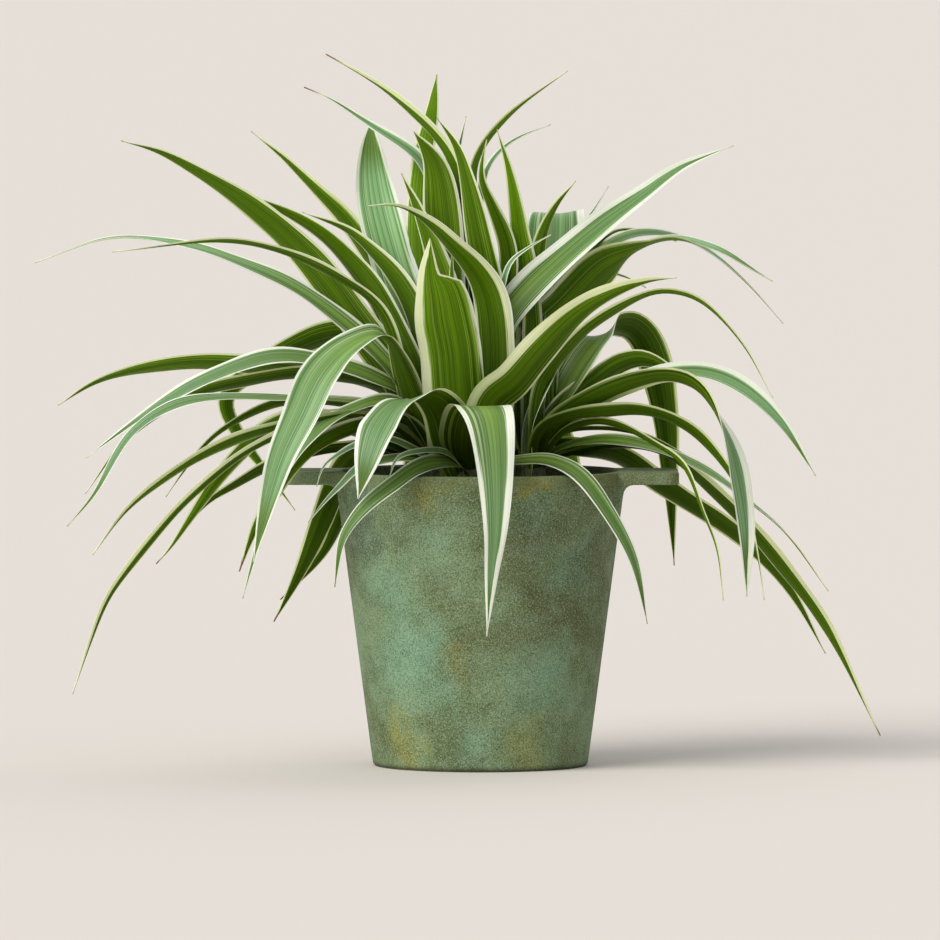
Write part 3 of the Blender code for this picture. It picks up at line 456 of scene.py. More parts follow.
def new_group(name, tree_kind, inputs, outputs):
    """A node group. inputs holds the default of each socket or names its kind, and outputs name kinds."""
    tree = bpy.data.node_groups.new(name, tree_kind)
    for socket_name, given in inputs.items():
        kind = SOCKET_KINDS.get(type(given), given)
        socket = tree.interface.new_socket(socket_name, in_out="INPUT", socket_type=f"NodeSocket{kind}")
        if kind is not given:
            socket.default_value = given
    for socket_name, kind in outputs.items():
        tree.interface.new_socket(socket_name, in_out="OUTPUT", socket_type=f"NodeSocket{kind}")
    inside = {socket.name: Signal(socket) for socket in tree.nodes.new("NodeGroupInput").outputs}
    return tree, inside, tree.nodes.new("NodeGroupOutput").inputs


def by_socket(values):
    """Values by the names of sockets, which have spaces in them."""
    return {name.replace("_", " "): value for name, value in values.items()}


def place_group(group, **values):
    """What a node group gives for these values, by the names of its outputs."""
    inputs = by_socket(values)
    node = add_node(tree_of(values.values()), "ShaderNodeGroup", inputs, node_tree=group)
    return {socket.name: Signal(socket) for socket in node.outputs}


def grow_with(obj, tree, **values):
    """Runs a Geometry Nodes tree on an object, with these values for inputs, and keeps what comes out."""
    modifier = obj.modifiers.new(tree.name, "NODES")
    modifier.node_group = tree
    sockets = {item.name: item.identifier for item in tree.interface.items_tree if item.in_out == "INPUT"}
    for name, value in by_socket(values).items():
        modifier[sockets[name]] = value
    graph = bpy.context.evaluated_depsgraph_get()
    grown = obj.evaluated_get(graph)
    mesh = bpy.data.meshes.new_from_object(grown, preserve_all_data_layers=True, depsgraph=graph)
    obj.modifiers.clear()
    old = obj.data
    obj.data = mesh
    bpy.data.meshes.remove(old)
    mesh.name = obj.name
    return obj


def new_material(name):
    made = bpy.data.materials.new(name)
    made.use_nodes = True
    return made


def place_in_object(made):
    """Where a point lies in the object that a material is on."""
    return signal(made.node_tree, "ShaderNodeTexCoord", output="Object")


def make_surface(made, colour, roughness, relief, strength, depth, **more):
    """Feeds a material's shader: its colour, its roughness, and a relief with its strength and depth."""
    bump = {"Strength": strength, "Distance": depth, "Height": relief}
    inputs = {
        "Base Color": colour,
        "Roughness": roughness,
        "Normal": signal(made.node_tree, "ShaderNodeBump", bump),
        **by_socket(more),
    }
    for name, value in inputs.items():
        fill(made.node_tree.nodes["Principled BSDF"].inputs[name], value)
    return made


# Leaves.

def smooth_step(value):
    value = min(1.0, max(0.0, value))
    return value * value * (3 - 2 * value)


def curve_point(points, at):
    """A point on the smooth curve through points, where at counts points from 0."""
    index = min(int(at), len(points) - 2)
    t = at - index
    p1, p2 = points[index], points[index + 1]
    p0 = points[index - 1] if index else p1 * 2 - p2
    p3 = points[index + 2] if index + 2 < len(points) else p2 * 2 - p1
    m1 = (p2 - p0) / 2
    m2 = (p3 - p1) / 2
    return (p1 * (2 * t**3 - 3 * t**2 + 1) + m1 * (t**3 - 2 * t**2 + t)
            + p2 * (3 * t**2 - 2 * t**3) + m2 * (t**3 - t**2))


def even_points(path, count):
    """count points evenly spaced along a path, and the path's length."""
    along = [0.0]
    for start, end in zip(path, path[1:]):
        along.append(along[-1] + (end - start).length)
    spaced = []
    index = 0
    for step in range(count):
        target = along[-1] * step / (count - 1)
        while index < len(along) - 2 and along[index + 1] < target:
            index += 1
        span = along[index + 1] - along[index]
        spaced.append(path[index].lerp(path[index + 1], (target - along[index]) / span))
    return spaced, along[-1]


def midrib(crown, spec):
    """Evenly spaced stations from the root in the crown's neck, through the collar, to the tip."""
    centre = Vector((*CROWNS[crown], 0)) * MM
    first = spec.points[0]
    away = Vector((first.x - centre.x, first.y - centre.y, 0))
    away = away.normalized() if away.length > MM else Vector((0, 1, 0))
    root = centre + away * ROOT_OFFSET + Vector((0, 0, MIX_LEVEL - ROOT_DEPTH))
    collar = centre + away * COLLAR_OFFSET + Vector((0, 0, MIX_LEVEL + NECK_RISE))
    knots = [root, collar, *spec.points]
    curve = [curve_point(knots, step / RIB_STEPS) for step in range(RIB_STEPS * (len(knots) - 1) + 1)]
    path, length = even_points(curve, RIB_POINTS)
    for _ in range(RIB_SMOOTHING):
        middle = [(before + at * 2 + after) / 4 for before, at, after in zip(path, path[1:], path[2:])]
        path = [path[0], *middle, path[-1]]
    count = max(FEWEST_STATIONS, min(MOST_STATIONS, round(length / BLADE_STEP) + 1))
    return even_points(path, count)[0]


def blade_width(spec, t):
    """The width at t, from 0 at the base to 1 at the tip."""
    share = BASE_SHARE + (1 - BASE_SHARE) * smooth_step(t / FULL_BY)
    if t > spec.widest:
        share *= 1 - ((t - spec.widest) / (1 - spec.widest)) ** spec.taper
    return max(TIP_WIDTH, spec.width * share)


def blade_frames(spec, stations):
    """Which way the upper side faces, and which way the blade runs, at each station."""
    whole = stations[-1] - stations[0]
    outward = Vector((whole.x, whole.y, 0)).normalized()
    side = 1 if whole.x < 0 else -1
    front = Vector((0, -1, 0))
    frames = []
    for index in range(len(stations)):
        before = stations[max(0, index - 1)]
        after = stations[min(len(stations) - 1, index + 1)]
        along = (after - before).normalized()
        if spec.faces is None:
            normal = along.cross(Vector((0, 0, 1)).cross(outward))
        else:
            at = index / (len(stations) - 1) * (len(spec.faces) - 1)
            low = min(int(at), len(spec.faces) - 2)
            turn = math.radians(spec.faces[low] + (spec.faces[low + 1] - spec.faces[low]) * (at - low))
            facing = (front - along * front.dot(along)).normalized()
            rising = along.cross(facing) * side
            normal = facing * math.cos(turn) + rising * math.sin(turn)
        frames.append((normal.normalized(), along))
    return frames


def midrib_lines(crown, leaves, chance):
    """A mesh of one line of points for each leaf, which carries what the blades are grown from."""
    points = []
    edges = []
    carried = []
    for spec in leaves:
        stations = midrib(crown, spec)
        seed = chance.random()
        margins = spec.margins or (chance.uniform(*MARGIN_SHARES), chance.uniform(*MARGIN_SHARES))
        # A light given in a leaf's row paints how brightly lit or shaded that leaf is; others are drawn at
        # random.
        light = spec.light or chance.uniform(*LIGHTNESS)
        length = sum((end - start).length for start, end in zip(stations, stations[1:]))
        for index, (place, (normal, along)) in enumerate(zip(stations, blade_frames(spec, stations))):
            t = index / (len(stations) - 1)
            half = blade_width(spec, t) / 2
            torn = 1 - TORN_SHARE * smooth_step((t - spec.shoulder) / TORN_OVER) if spec.shoulder else 1
            # A margin keeps some of its width where the blade tapers or is torn, so its share grows there.
            tapered = (2 * half / spec.width) ** MARGIN_HOLD if t > spec.widest else 1
            if index:
                edges.append((len(points) - 1, len(points)))
            points.append(place)
            carried.append({
                "across": normal.cross(along).normalized(),
                "lift": normal,
                "left_half": half * torn,
                "right_half": half,
                "fold": math.radians(FOLD_BASE + (spec.fold - FOLD_BASE) * smooth_step(t * 4)),
                "along": t,
                "reach": t * length,
                "seed": seed,
                "light": light,
                "bloom": spec.bloom,
                "left_margin": min(WIDEST_MARGIN, margins[0] / tapered / torn),
                "right_margin": min(WIDEST_MARGIN, margins[1] / tapered),
                "dry": spec.dry,
            })
    mesh = bpy.data.meshes.new(f"blades_{crown}")
    mesh.from_pydata(points, edges, [])
    for key, example in carried[0].items():
        kind, field = ("FLOAT_VECTOR", "vector") if isinstance(example, Vector) else ("FLOAT", "value")
        attribute = mesh.attributes.new(key, kind, "POINT")
        for item, station in zip(attribute.data, carried):
            setattr(item, field, station[key])
    return new_object(f"blades_{crown}", mesh)


# What is carried only to shape a blade, and isn't kept on it.
SHAPING_VALUES = ("across", "lift", "left_half", "right_half", "fold", "reach", "midrib", "turn")


def blade_tree():
    """Sweeps a flat oval along each midrib, and folds and waves it by what the midrib carries."""
    tree, inside, outside = new_group(
        "grow_blades",
        "GeometryNodeTree",
        {
            "Midribs": "Geometry", "Columns": BLADE_COLUMNS, "Thickness": BLADE_THICK,
            "Fold Roundness": FOLD_ROUNDNESS, "Wave Height": WAVE_HEIGHT, "Wave Length": WAVE_LENGTH,
            "Upper Finish": "Material", "Under Finish": "Material",
        },
        {"Blades": "Geometry"},
    )

    def geometry(kind, inputs=None, output=0, **settings):
        return signal(tree, f"GeometryNode{kind}", inputs, output, **settings)

    def carried(name, kind="FLOAT"):
        return geometry("InputNamedAttribute", {"Name": name}, "Attribute", data_type=kind)

    def stored(shape, name, value, kind="FLOAT", domain="POINT"):
        inputs = {"Geometry": shape, "Name": name, "Value": value}
        return geometry("StoreNamedAttribute", inputs, "Geometry", data_type=kind, domain=domain)

    lines = stored(inside["Midribs"], "midrib", geometry("InputPosition"), "FLOAT_VECTOR")
    paths = geometry("MeshToCurve", {"Mesh": lines}, "Curve")
    oval = geometry("CurvePrimitiveCircle", {"Resolution": inside["Columns"], "Radius": 1.0}, "Curve")
    section = stored(oval, "turn", geometry("SplineParameter", output="Factor"))
    swept = geometry("CurveToMesh", {"Curve": paths, "Profile Curve": section, "Fill Caps": True}, "Mesh")

    turn = carried("turn") * math.tau
    side = maths("COSINE", turn)
    rise = maths("SINE", turn)
    out = maths("ABSOLUTE", side)
    on_left = maths("GREATER_THAN", side, 0.0)
    halves = {"Switch": on_left, "False": carried("right_half"), "True": carried("left_half")}
    half = geometry("Switch", halves, input_type="FLOAT")
    fold = carried("fold")
    spread = half * maths("COSINE", fold) * side
    channel = half * maths("SINE", fold) * maths("POWER", out, inside["Fold Roundness"])
    skin = rise * (inside["Thickness"] * 0.5)
    phase = carried("reach") / inside["Wave Length"] * math.tau
    phase = phase + carried("seed") * WAVE_START + side * WAVE_LAG
    wave = maths("SINE", phase) * (out * out) * (inside["Wave Height"] * (half / COMMON_HALF_WIDTH))
    across = vectors("SCALE", carried("across", "FLOAT_VECTOR"), Scale=spread)
    raised = vectors("SCALE", carried("lift", "FLOAT_VECTOR"), Scale=channel + skin + wave)
    position = vectors("ADD", carried("midrib", "FLOAT_VECTOR"), vectors("ADD", across, raised))
    shaped = geometry("SetPosition", {"Geometry": swept, "Position": position})

    place = joined(side * 0.5 + 0.5, carried("along"), 0.0)
    mapped = stored(shaped, "UVMap", place, "FLOAT2", "CORNER")
    whole = geometry("SetMaterial", {"Geometry": mapped, "Material": inside["Upper Finish"]})
    below = signal(tree, "FunctionNodeCompare", {0: rise, 1: 0.0}, data_type="FLOAT", operation="LESS_THAN")
    under = {"Geometry": whole, "Selection": below, "Material": inside["Under Finish"]}
    finished = geometry("SetMaterial", under)
    for name in SHAPING_VALUES:
        finished = geometry("RemoveAttribute", {"Geometry": finished, "Name": name})
    fill(outside["Blades"], geometry("RealizeInstances", {"Geometry": finished}))
    return tree


def neck(name, finish):
    """The short stump of clasped leaf bases that a crown's blades grow from."""
    profile = (
        (0, -NECK_SINK),
        (NECK_FOOT_RADIUS, -NECK_SINK),
        (NECK_FOOT_RADIUS, 2 * MM),
        (NECK_TOP_RADIUS + 1.2 * MM, NECK_RISE * 0.6),
        (NECK_TOP_RADIUS, NECK_RISE),
        (0, NECK_RISE + 1.5 * MM),
    )
    bm = bmesh.new()
    verts = [bm.verts.new((radius, 0, MIX_LEVEL + height)) for radius, height in profile]
    edges = [bm.edges.new(pair) for pair in zip(verts, verts[1:])]
    bmesh.ops.spin(bm, geom=verts + edges, cent=(0, 0, 0), axis=(0, 0, 1), angle=math.tau, steps=NECK_SIDES)
    bmesh.ops.remove_doubles(bm, verts=bm.verts, dist=0.01 * MM)
    for vert in bm.verts:
        angle = math.atan2(vert.co.y, vert.co.x)
        vert.co.xy *= 1 + LOBE_DEPTH * math.cos(LOBES * angle + LOBE_TWIST * vert.co.z)
    bmesh.ops.translate(bm, verts=bm.verts, vec=Vector((*CROWNS[name], 0)) * MM)
    bmesh.ops.recalc_face_normals(bm, faces=bm.faces)
    obj = object_from(bm, f"neck_{name}", finish)
    shade_round(obj, 40)
    return obj


# The patterns of a blade: how many lines it has across, how fast they change along it, how fine they are, and
# an offset that keeps one pattern apart from the next.
PATTERNS = {
    "drift": (1.5, 6.0, 1.0, 3.1),
    "ragged": (30.0, 3.0, 2.0, 7.7),
    "hairlines": (42.0, 0.7, 1.0, 5.0),
    "middle": (5.0, 0.9, 2.0, 12.0),
    "bands": (9.0, 0.9, 2.0, 9.0),
    "veins": (54.0, 0.9, 1.0, 2.0),
}
PATTERN_SPREAD = 61.7


def marking_group():
    """Where a blade is pale and where it is green, from its place across and along the blade."""
    tree, inside, outside = new_group(
        "leaf_markings",
        "ShaderNodeTree",
        {
            "Across": 0.5, "Along": 0.5, "Seed": 0.0, "Left Margin": 0.12, "Right Margin": 0.12,
            "Softness": 0.016, "Raggedness": 0.15,
        },
        dict.fromkeys(("Margin", "Hairlines", "Middle", "Bands", "Veins", "Relief"), "Float"),
    )
    across = inside["Across"]
    along = inside["Along"]
    seed = inside["Seed"] * PATTERN_SPREAD

    def lines(name):
        count, change, detail, offset = PATTERNS[name]
        return noise(joined(across * count, along * change, seed + offset), detail=detail, roughness=0.6)

    # A margin narrows towards the base, and its inner edge breaks up into long streaks.
    grown = ramp(along, 0.02, 0.3, 0.55, 1.0)
    drift = ramp(lines("drift"), 0.0, 1.0, -0.03, 0.03, "LINEAR")
    ragged = (lines("ragged") - 0.5) * inside["Raggedness"]
    place = across + (drift + ragged)
    soft = inside["Softness"]
    right_edge = inside["Right Margin"] * grown
    right = ramp(place, right_edge - soft, right_edge + soft, 1.0, 0.0)
    left_edge = 1.0 - inside["Left Margin"] * grown
    left = ramp(place, left_edge - soft, left_edge + soft)
    fill(outside["Margin"], maths("MAXIMUM", left, right))

    off_centre = maths("ABSOLUTE", across - 0.5)
    thin = ramp(lines("hairlines"), 0.54, 0.62)
    fill(outside["Hairlines"], thin * ramp(off_centre, 0.1, 0.36, 0.12, 1.0))
    wander = off_centre + ramp(lines("middle"), 0.2, 0.8, -0.12, 0.12, "LINEAR")
    fill(outside["Middle"], ramp(wander, 0.0, 0.22, 1.0, 0.0))
    fill(outside["Bands"], ramp(lines("bands"), 0.3, 0.7, kind="LINEAR"))
    veins = lines("veins")
    fill(outside["Veins"], ramp(veins, 0.36, 0.64))
    fill(outside["Relief"], veins + ramp(off_centre, 0.0, 0.03, -1.0, 0.0))
    return tree


# Greens as a screen shows them, dark and light: at the base of a blade, towards its tip, and at its very end.
# They are partly painted light. The upper side goes from a saturated green at the base, painted light shining
# through, to a greyer green towards the tip, a painted sheen of the sky. The under side's deep yellow-green
# partly paints light shining through the blade. The middle is the paler stripe along the midrib. At the base
# the margin starts in a darker, greener colour that is painted shade. stripe is how strongly the middle
# shows, relief how deep the veins are, and glow how much light comes through.
UPPER_SIDE = {
    "base": ((48, 80, 2), (108, 144, 30)),
    "tip": ((74, 116, 66), (146, 184, 130)),
    "ending": ((64, 92, 14), (106, 136, 44)),
    "middle": (148, 178, 76), "margin": (240, 244, 226), "margin_in_shade": (150, 168, 86),
    "hairline": (204, 218, 176),
    "stripe": 0.55, "roughness": 0.42, "relief": 0.12 * MM, "gloss": 0.2, "glow": 0.25,
}
UNDER_SIDE = {
    "base": ((34, 58, 0), (74, 104, 1)),
    "tip": ((48, 78, 0), (102, 138, 4)),
    "ending": ((54, 82, 2), (100, 132, 14)),
    "middle": (100, 132, 10), "margin": (228, 232, 190), "margin_in_shade": (128, 146, 66),
    "hairline": (138, 164, 62),
    "stripe": 0.25, "roughness": 0.5, "relief": 0.15 * MM, "gloss": 0.1, "glow": 0.4,
}
DRY_COLOUR = (120, 84, 54)


def leaf_finish(name, look, markings):
    """One side of a blade. The same markings show on both sides, in that side's own colours, which partly
    paint
    light: a grey sheen of the sky towards the upper side's tip, and light shining through the under side.
    """
    made = new_material(name)
    across, along, _ = split(signal(made.node_tree, "ShaderNodeUVMap", uv_map="UVMap"))

    def carried(attribute):
        return signal(made.node_tree, "ShaderNodeAttribute", output="Fac", attribute_name=attribute)

    marks = place_group(
        markings, Across=across, Along=along, Seed=carried("seed"),
        Left_Margin=carried("left_margin"), Right_Margin=carried("right_margin"))
    # Towards the tip the colours shift to the tip greens, which on the upper side are a painted grey sheen of
    # the sky.
    towards_tip = ramp(along, 0.2, 0.85) * carried("bloom")
    dark = mixed(towards_tip, look["base"][0], look["tip"][0])
    light = mixed(towards_tip, look["base"][1], look["tip"][1])
    tone = marks["Bands"] * 0.4 + marks["Veins"] * 0.6
    green = mixed(tone, dark, light)
    green = mixed(marks["Middle"] * ramp(along, 0.3, 0.65, look["stripe"], 0.0), green, look["middle"])
    green = mixed(marks["Hairlines"] * 0.7, green, look["hairline"])
    # The last of a blade turns to a plain, deeper green.
    green = mixed(ramp(along, 0.84, 0.93, 0.0, 0.8), green, mixed(tone, *look["ending"]))
    # Each leaf's light darkens or lightens its green. Where its row gives it, this paints how lit or shaded
    # the leaf is.
    green = shaded(green, carried("light"))
    # Painted shade: the margin starts darker and greener at the base, in the shade of the crown.
    margin = mixed(ramp(along, 0.12, 0.5), look["margin_in_shade"], look["margin"])
    margin = mixed(marks["Veins"] * 0.22, margin, light)
    colour = mixed(marks["Margin"], green, margin)
    # Painted shade: all are darker towards the base, where they crowd together.
    colour = shaded(colour, ramp(along, 0.05, 0.34, 0.3, 1.0))
    dry_from = 1.0 - carried("dry")
    colour = mixed(ramp(along, dry_from - 0.015, dry_from + 0.02), colour, DRY_COLOUR)
    rough = ramp(marks["Veins"], 0.0, 1.0, look["roughness"] - 0.05, look["roughness"] + 0.06)
    return make_surface(
        made, colour, rough, marks["Relief"], 0.35, look["relief"], Specular_IOR_Level=look["gloss"],
        Subsurface_Weight=look["glow"], Subsurface_Radius=(0.8, 1.0, 0.2), Subsurface_Scale=1.2 * MM)


def base_finish():
    """The clasped bases of the leaves in a crown's neck: dull green, streaked upwards. Their own green is
    pale, and the darker green is painted shade.
    """
    made = new_material("leaf_bases")
    place = place_in_object(made)
    drawn_out = {"Vector": place, "Scale": (1.0, 1.0, 0.12)}
    streaks = noise(signal(place.tree, "ShaderNodeMapping", drawn_out), 700.0, 3.0, 0.6)
    colour = mixed(ramp(streaks, 0.35, 0.65), (36, 44, 16), (84, 92, 46))
    return make_surface(made, colour, ramp(streaks, 0.3, 0.7, 0.5, 0.7), streaks, 0.5, 0.3 * MM)


def make_leaves():
    markings = marking_group()
    upper = leaf_finish("leaf_upper_side", UPPER_SIDE, markings)
    under = leaf_finish("leaf_under_side", UNDER_SIDE, markings)
    bases = base_finish()
    tree = blade_tree()
    chance = random.Random(LEAF_SEED)
    leaves = {
        "left": LEFT_LEAVES, "middle": MIDDLE_LEAVES, "right": RIGHT_LEAVES, "front": FRONT_LEAVES,
        "back": (*BACK_LEAVES, *hidden_leaves()),
    }
    for name in CROWNS:
        lines = midrib_lines(name, leaves[name], chance)
        crown = grow_with(lines, tree, Upper_Finish=upper, Under_Finish=under)
        shade_round(crown, 60)
        for piece in (crown, neck(name, bases)):
            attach(piece, "root")
            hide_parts(f"crown_{name}")


# Potting mix.

CRUMBS = 2600
CRUMB_SIZE = 1.5 * MM
CRUMB_SEED = 5
MIX_SIDES = 120
MIX_RINGS = 26
MIX_ROUGHNESS = 0.25 * MM
MIX_GAP = 0.3 * MM
MIX_FOOT_SHARE = 0.76
MIX_TOP_SHARE = 0.985
LUMP_LENGTHS = (6.1 * MM, 5.3 * MM, 9.7 * MM)
CRUMB_SHAPES = ((0.55, 0.5, 0.4), (1.5, 1.0, 0.9))
FULL_TURNS = (6.28, 6.28, 6.28)


def mix_height(x, y):
    """The lumpy top of the potting mix."""
    across, back, slanting = LUMP_LENGTHS
    lumps = math.sin(x / across) * math.cos(y / back) + math.sin((x + y) / slanting)
    return MIX_LEVEL + MIX_LUMPS * 0.5 * lumps


def crumb_tree():
    """Scatters crumbs of compost and bark over the top of the mix, half sunk in it."""
    tree, inside, outside = new_group(
        "scatter_crumbs",
        "GeometryNodeTree",
        {
            "Surface": "Geometry", "Crumbs Per Square Metre": 100000.0, "Crumb Size": CRUMB_SIZE,
            "Seed": CRUMB_SEED, "Finish": "Material",
        },
        {"Mix": "Geometry"},
    )

    def chance(low, high, offset):
        """A random number or vector for each crumb."""
        kind, first, output = ("FLOAT_VECTOR", 0, 0) if isinstance(low, tuple) else ("FLOAT", 2, 1)
        inputs = {first: low, first + 1: high, "Seed": offset}
        return signal(tree, "FunctionNodeRandomValue", inputs, output, data_type=kind)

    upward = split(signal(tree, "GeometryNodeInputNormal"))[2]
    level = signal(
        tree, "FunctionNodeCompare", {0: upward, 1: 0.5}, data_type="FLOAT", operation="GREATER_THAN")
    density = inside["Crumbs Per Square Metre"]
    places = {"Mesh": inside["Surface"], "Selection": level, "Density": density, "Seed": inside["Seed"]}
    size = (maths("POWER", chance(0.0, 1.0, 3), 2.5) * 1.1 + 0.35) * inside["Crumb Size"]
    turned = {0: chance((0, 0, 0), FULL_TURNS, 4)}
    crumbs = {
        "Points": signal(tree, "GeometryNodeDistributePointsOnFaces", places, "Points"),
        "Instance": signal(tree, "GeometryNodeMeshIcoSphere", {"Radius": 1.0, "Subdivisions": 1}, "Mesh"),
        "Rotation": signal(tree, "FunctionNodeEulerToRotation", turned),
        "Scale": vectors("SCALE", chance(*CRUMB_SHAPES, 8), Scale=size),
    }
    scattered = signal(tree, "GeometryNodeInstanceOnPoints", crumbs, "Instances")
    realized = signal(tree, "GeometryNodeRealizeInstances", {"Geometry": scattered})
    both = tree.nodes.new("GeometryNodeJoinGeometry")
    for shape in (inside["Surface"], realized):
        fill(both.inputs[0], shape)
    finished = {"Geometry": Signal(both.outputs[0]), "Material": inside["Finish"]}
    fill(outside["Mix"], signal(tree, "GeometryNodeSetMaterial", finished))
    return tree


def mix_finish():
    made = new_material("potting_mix")
    place = place_in_object(made)
    broad = noise(place, 90.0, 4.0, 0.6)
    fine = noise(place, 900.0, 4.0, 0.7)
    colour = mixed(ramp(broad, 0.35, 0.65), (30, 22, 16), (62, 46, 33))
    colour = mixed(ramp(fine, 0.62, 0.74), colour, (112, 88, 62))
    return make_surface(made, colour, ramp(fine, 0.3, 0.7, 0.82, 0.98), fine, 0.7, 0.6 * MM)


def make_mix():
    """The mix as it shows inside the rim: a lumpy top over a short skirt, with a closed underside."""
    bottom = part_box("potting_mix")[0][2]
    taper = (RIM_RADIUS - FOOT_RADIUS) * (1 - MIX_LEVEL / RIM_HEIGHT)
    outer = RIM_RADIUS - taper - WALL - MIX_GAP
    chance = random.Random(CRUMB_SEED)
    bm = bmesh.new()

    def ring(radius, height_at):
        verts = []
        for step in range(MIX_SIDES):
            angle = math.tau * step / MIX_SIDES
            x = radius * math.cos(angle)
            y = radius * math.sin(angle)
            verts.append(bm.verts.new((x, y, height_at(x, y))))
        return verts

    def top(x, y):
        return mix_height(x, y) + chance.uniform(-1, 1) * MIX_ROUGHNESS

    rings = [ring(outer * MIX_FOOT_SHARE, lambda x, y: bottom), ring(outer, lambda x, y: MIX_LEVEL - MM)]
    for index in range(MIX_RINGS):
        rings.append(ring(outer * MIX_TOP_SHARE * (1 - index / MIX_RINGS), top))
    for below, above in zip(rings, rings[1:]):
        for i in range(MIX_SIDES):
            j = (i + 1) % MIX_SIDES
            bm.faces.new((below[i], below[j], above[j], above[i]))
    bm.faces.new(rings[-1])
    bm.faces.new(list(reversed(rings[0])))
    bmesh.ops.recalc_face_normals(bm, faces=bm.faces)
    finish = mix_finish()
    density = CRUMBS / (math.pi * outer**2)
    mix = object_from(bm, "mix_with_crumbs", finish)
    grow_with(mix, crumb_tree(), Crumbs_Per_Square_Metre=density, Finish=finish)
    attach(mix, "root")
    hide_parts("potting_mix")


# Pot.

def cloud_group():
    """A soft cloud of colour round a centre. Place comes in warped, which gives it its uneven outline."""
    tree, inside, outside = new_group(
        "patina_cloud",
        "ShaderNodeTree",
        {"Place": (0.0, 0.0, 0.0), "Centre": (0.0, 0.0, 0.0), "Size": 0.02},
        {"Cloud": "Float"},
    )
    gap = vectors("DISTANCE", inside["Place"], inside["Centre"]) / inside["Size"]
    fill(outside["Cloud"], ramp(gap, 0.1, 1.35, 1.0, 0.0))
    return tree


# Clouds of patina: a colour, its strength, a place in millimetres across, back and up, and its size.
PATINA_CLOUDS = (
    ("turquoise", 0.8, -34, -46, 50, 28), ("turquoise", 0.55, -44, -44, 84, 20),
    ("turquoise", 0.6, 30, -48, 40, 20), ("turquoise", 0.55, -4, -56, 10, 16),
    ("turquoise", 0.5, 42, -46, 92, 15), ("turquoise", 0.35, -24, -58, 106, 18),
    ("turquoise", 0.35, 20, -60, 124, 13), ("deep", 0.55, -54, -40, 116, 20),
    ("deep", 0.4, 50, -36, 100, 14), ("olive", 0.5, 14, -62, 106, 22), ("olive", 0.6, 34, -52, 74, 24),
    ("olive", 0.5, 60, -26, 100, 18), ("olive", 0.35, -8, -60, 66, 18), ("olive", 0.3, 10, -56, 60, 14),
    ("ochre", 0.5, -39, -36, 14, 13), ("ochre", 0.5, -26, -62, 137, 11), ("ochre", 0.75, 24, -64, 136, 10),
    ("olive", 0.45, 43, -50, 120, 16), ("olive", 0.4, -20, -58, 92, 14), ("olive", 0.55, 60, -36, 138, 16),
    ("olive", 0.75, 84, -20, 139, 16), ("olive", 0.45, 46, -28, 8, 14), ("ochre", 0.36, 22, -46, 13, 14),
    ("ochre", 0.25, -10, -57, 56, 10), ("turquoise", 0.6, 10, 60, 50, 30),
    ("turquoise", 0.5, -56, 10, 60, 24), ("turquoise", 0.5, 56, 16, 66, 22), ("deep", 0.5, -40, 44, 100, 24),
    ("olive", 0.5, 44, 44, 80, 26), ("ochre", 0.4, -30, 44, 20, 12), ("ochre", 0.35, 50, 8, 16, 12),
)
PATINA_COLOURS = {
    "turquoise": (122, 164, 134), "deep": (84, 108, 98), "olive": (88, 86, 46), "ochre": (152, 144, 54),
}
PATINA_WARPS = ((30.0, 22.0 * MM), (110.0, 8.0 * MM))

# Mottles, grain and specks over the clouds: which pattern, where it starts and is full, how strong it gets
# there, and its colour.
PATINA_LAYERS = (
    ("mottles", 0.5, 0.72, 0.35, (76, 84, 50)),
    ("mottles", 0.5, 0.3, 0.3, (136, 164, 136)),
    ("grain", 0.5, 0.66, 0.6, (58, 66, 38)),
    ("grain", 0.5, 0.34, 0.42, (172, 190, 152)),
    ("specks", 0.6, 0.72, 0.35, (70, 62, 32)),
)
RIM_BAND = (135.0 * MM, 138.0 * MM)
PAINTED_FOOT_SHADOW = (0.6 * MM, 3.5 * MM)


def verdigris():
    made = new_material("verdigris_patina")
    place = place_in_object(made)
    warped = place
    for scale, reach in PATINA_WARPS:
        shift = vectors("SUBTRACT", noise(place, scale, 3.0, output="Color"), (0.5, 0.5, 0.5))
        warped = vectors("ADD", warped, vectors("SCALE", shift, Scale=reach * 2))
    patterns = {
        "mottles": noise(place, 100.0, 5.0, 0.6),
        "grain": noise(place, 1500.0, 2.0, 0.6),
        "specks": noise(place, 620.0, 3.0, 0.6, 0.6),
    }
    mottles = patterns["mottles"]
    broad = noise(warped, 20.0, 4.0, 0.55)
    colour = mixed(ramp(broad, 0.36, 0.64), (92, 106, 68), (120, 142, 104))
    cloud = cloud_group()
    for name, strength, *centre, size in PATINA_CLOUDS:
        mask = place_group(cloud, Place=warped, Centre=Vector(centre) * MM, Size=size * MM)["Cloud"]
        colour = mixed(mask * strength, colour, PATINA_COLOURS[name])
    for name, start, full, strength, tint in PATINA_LAYERS:
        colour = mixed(ramp(patterns[name], start, full, 0.0, strength), colour, tint)
    height = split(place)[2]
    # A faint paler band round the top: partly a painted highlight where the rim catches the light, partly
    # wear.
    band = ramp(height, *RIM_BAND) * ramp(mottles, 0.35, 0.6, 0.1, 0.4)
    colour = mixed(band, colour, (112, 116, 70))
    # Painted shadow: darker towards the bottom, a dark band where the pot stands on the floor.
    colour = mixed(ramp(height, *PAINTED_FOOT_SHADOW, 0.65, 0.0), colour, (58, 58, 34))
    return make_surface(
        made, colour, ramp(mottles, 0.3, 0.7, 0.6, 0.85), mottles * 1.2 + patterns["grain"], 0.5, 0.4 * MM,
        Specular_IOR_Level=0.25)


def finish_pot(pot):
    finish = verdigris()
    for slot in pot.material_slots:
        slot.material = finish


# Floor, light and camera.

FLOOR_COLOUR = (216, 209, 202)
SKY_COLOUR = (0.95, 0.97, 1.0, 1)
SKY_STRENGTH = 0.5


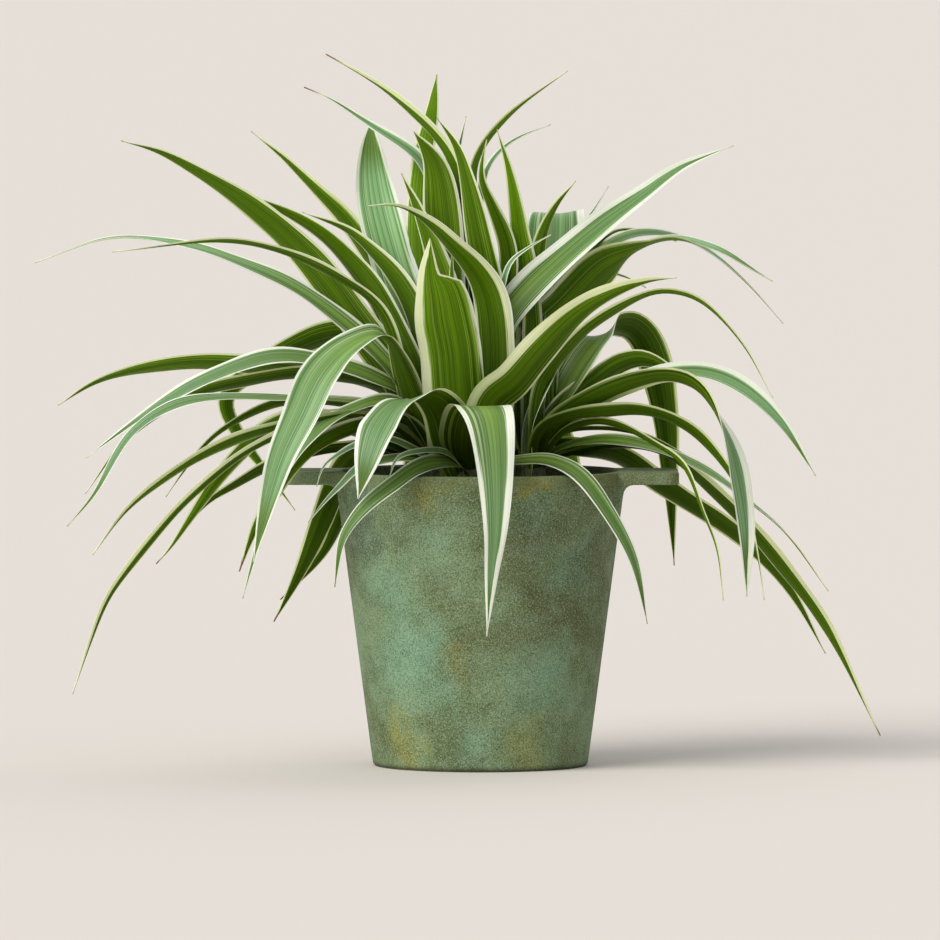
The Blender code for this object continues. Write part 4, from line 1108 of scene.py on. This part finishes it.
def aimed(obj, place, target):
    obj.location = place
    obj.rotation_euler = (Vector(target) - Vector(place)).to_track_quat("-Z", "Y").to_euler()


def soft_sun(name, towards, strength, width, colour):
    """Even light from one side of the sky, as wide in degrees as a big window."""
    light = bpy.data.lights.new(name, "SUN")
    light.angle = math.radians(width)
    light.energy = strength
    light.color = colour
    aimed(new_object(name, light), towards, (0, 0, 0))


def make_floor():
    bm = bmesh.new()
    bmesh.ops.create_circle(bm, cap_ends=True, segments=96, radius=FLOOR_RADIUS)
    made = new_material("studio_floor")
    shader = made.node_tree.nodes["Principled BSDF"].inputs
    fill(shader["Base Color"], linear(FLOOR_COLOUR))
    fill(shader["Roughness"], 0.9)
    fill(shader["Specular IOR Level"], 0.1)
    floor = object_from(bm, "studio_floor", made)


def make_light():
    world = bpy.data.worlds.new("studio")
    bpy.context.scene.world = world
    world.use_nodes = True
    sky = world.node_tree.nodes["Background"].inputs
    fill(sky["Color"], SKY_COLOUR)
    fill(sky["Strength"], SKY_STRENGTH)
    soft_sun("window", towards=(-1.2, -1.0, 1.25), strength=2.7, width=42, colour=(1.0, 0.985, 0.96))
    soft_sun("behind", towards=(0.5, 1.0, 1.0), strength=0.7, width=60, colour=(1.0, 0.99, 0.95))
    bpy.context.scene.view_settings.view_transform = "Standard"


def make_camera():
    camera = bpy.data.cameras.new("camera")
    camera.sensor_width = SENSOR_WIDTH
    camera.lens = SENSOR_WIDTH * CAMERA_DISTANCE / FRAME_WIDTH
    camera.clip_end = CAMERA_SIGHT
    obj = new_object("camera", camera)
    tilt = math.radians(CAMERA_ELEVATION)
    back = Vector((0, -math.cos(tilt), math.sin(tilt))) * CAMERA_DISTANCE
    aimed(obj, CAMERA_AIM + back, CAMERA_AIM)
    bpy.context.scene.camera = obj


def main(frame):
    make_camera()
    finish_pot(frame["nodes"]["pot"])
    make_mix()
    make_leaves()
    make_floor()
    make_light()


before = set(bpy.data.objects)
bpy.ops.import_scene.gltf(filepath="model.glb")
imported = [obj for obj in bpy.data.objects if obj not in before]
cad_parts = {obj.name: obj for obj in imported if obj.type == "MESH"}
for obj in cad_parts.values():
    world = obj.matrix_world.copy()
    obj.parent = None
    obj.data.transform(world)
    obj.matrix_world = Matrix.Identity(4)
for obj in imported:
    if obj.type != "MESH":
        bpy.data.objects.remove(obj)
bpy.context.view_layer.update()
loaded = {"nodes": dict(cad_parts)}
main(loaded)
bpy.context.view_layer.update()
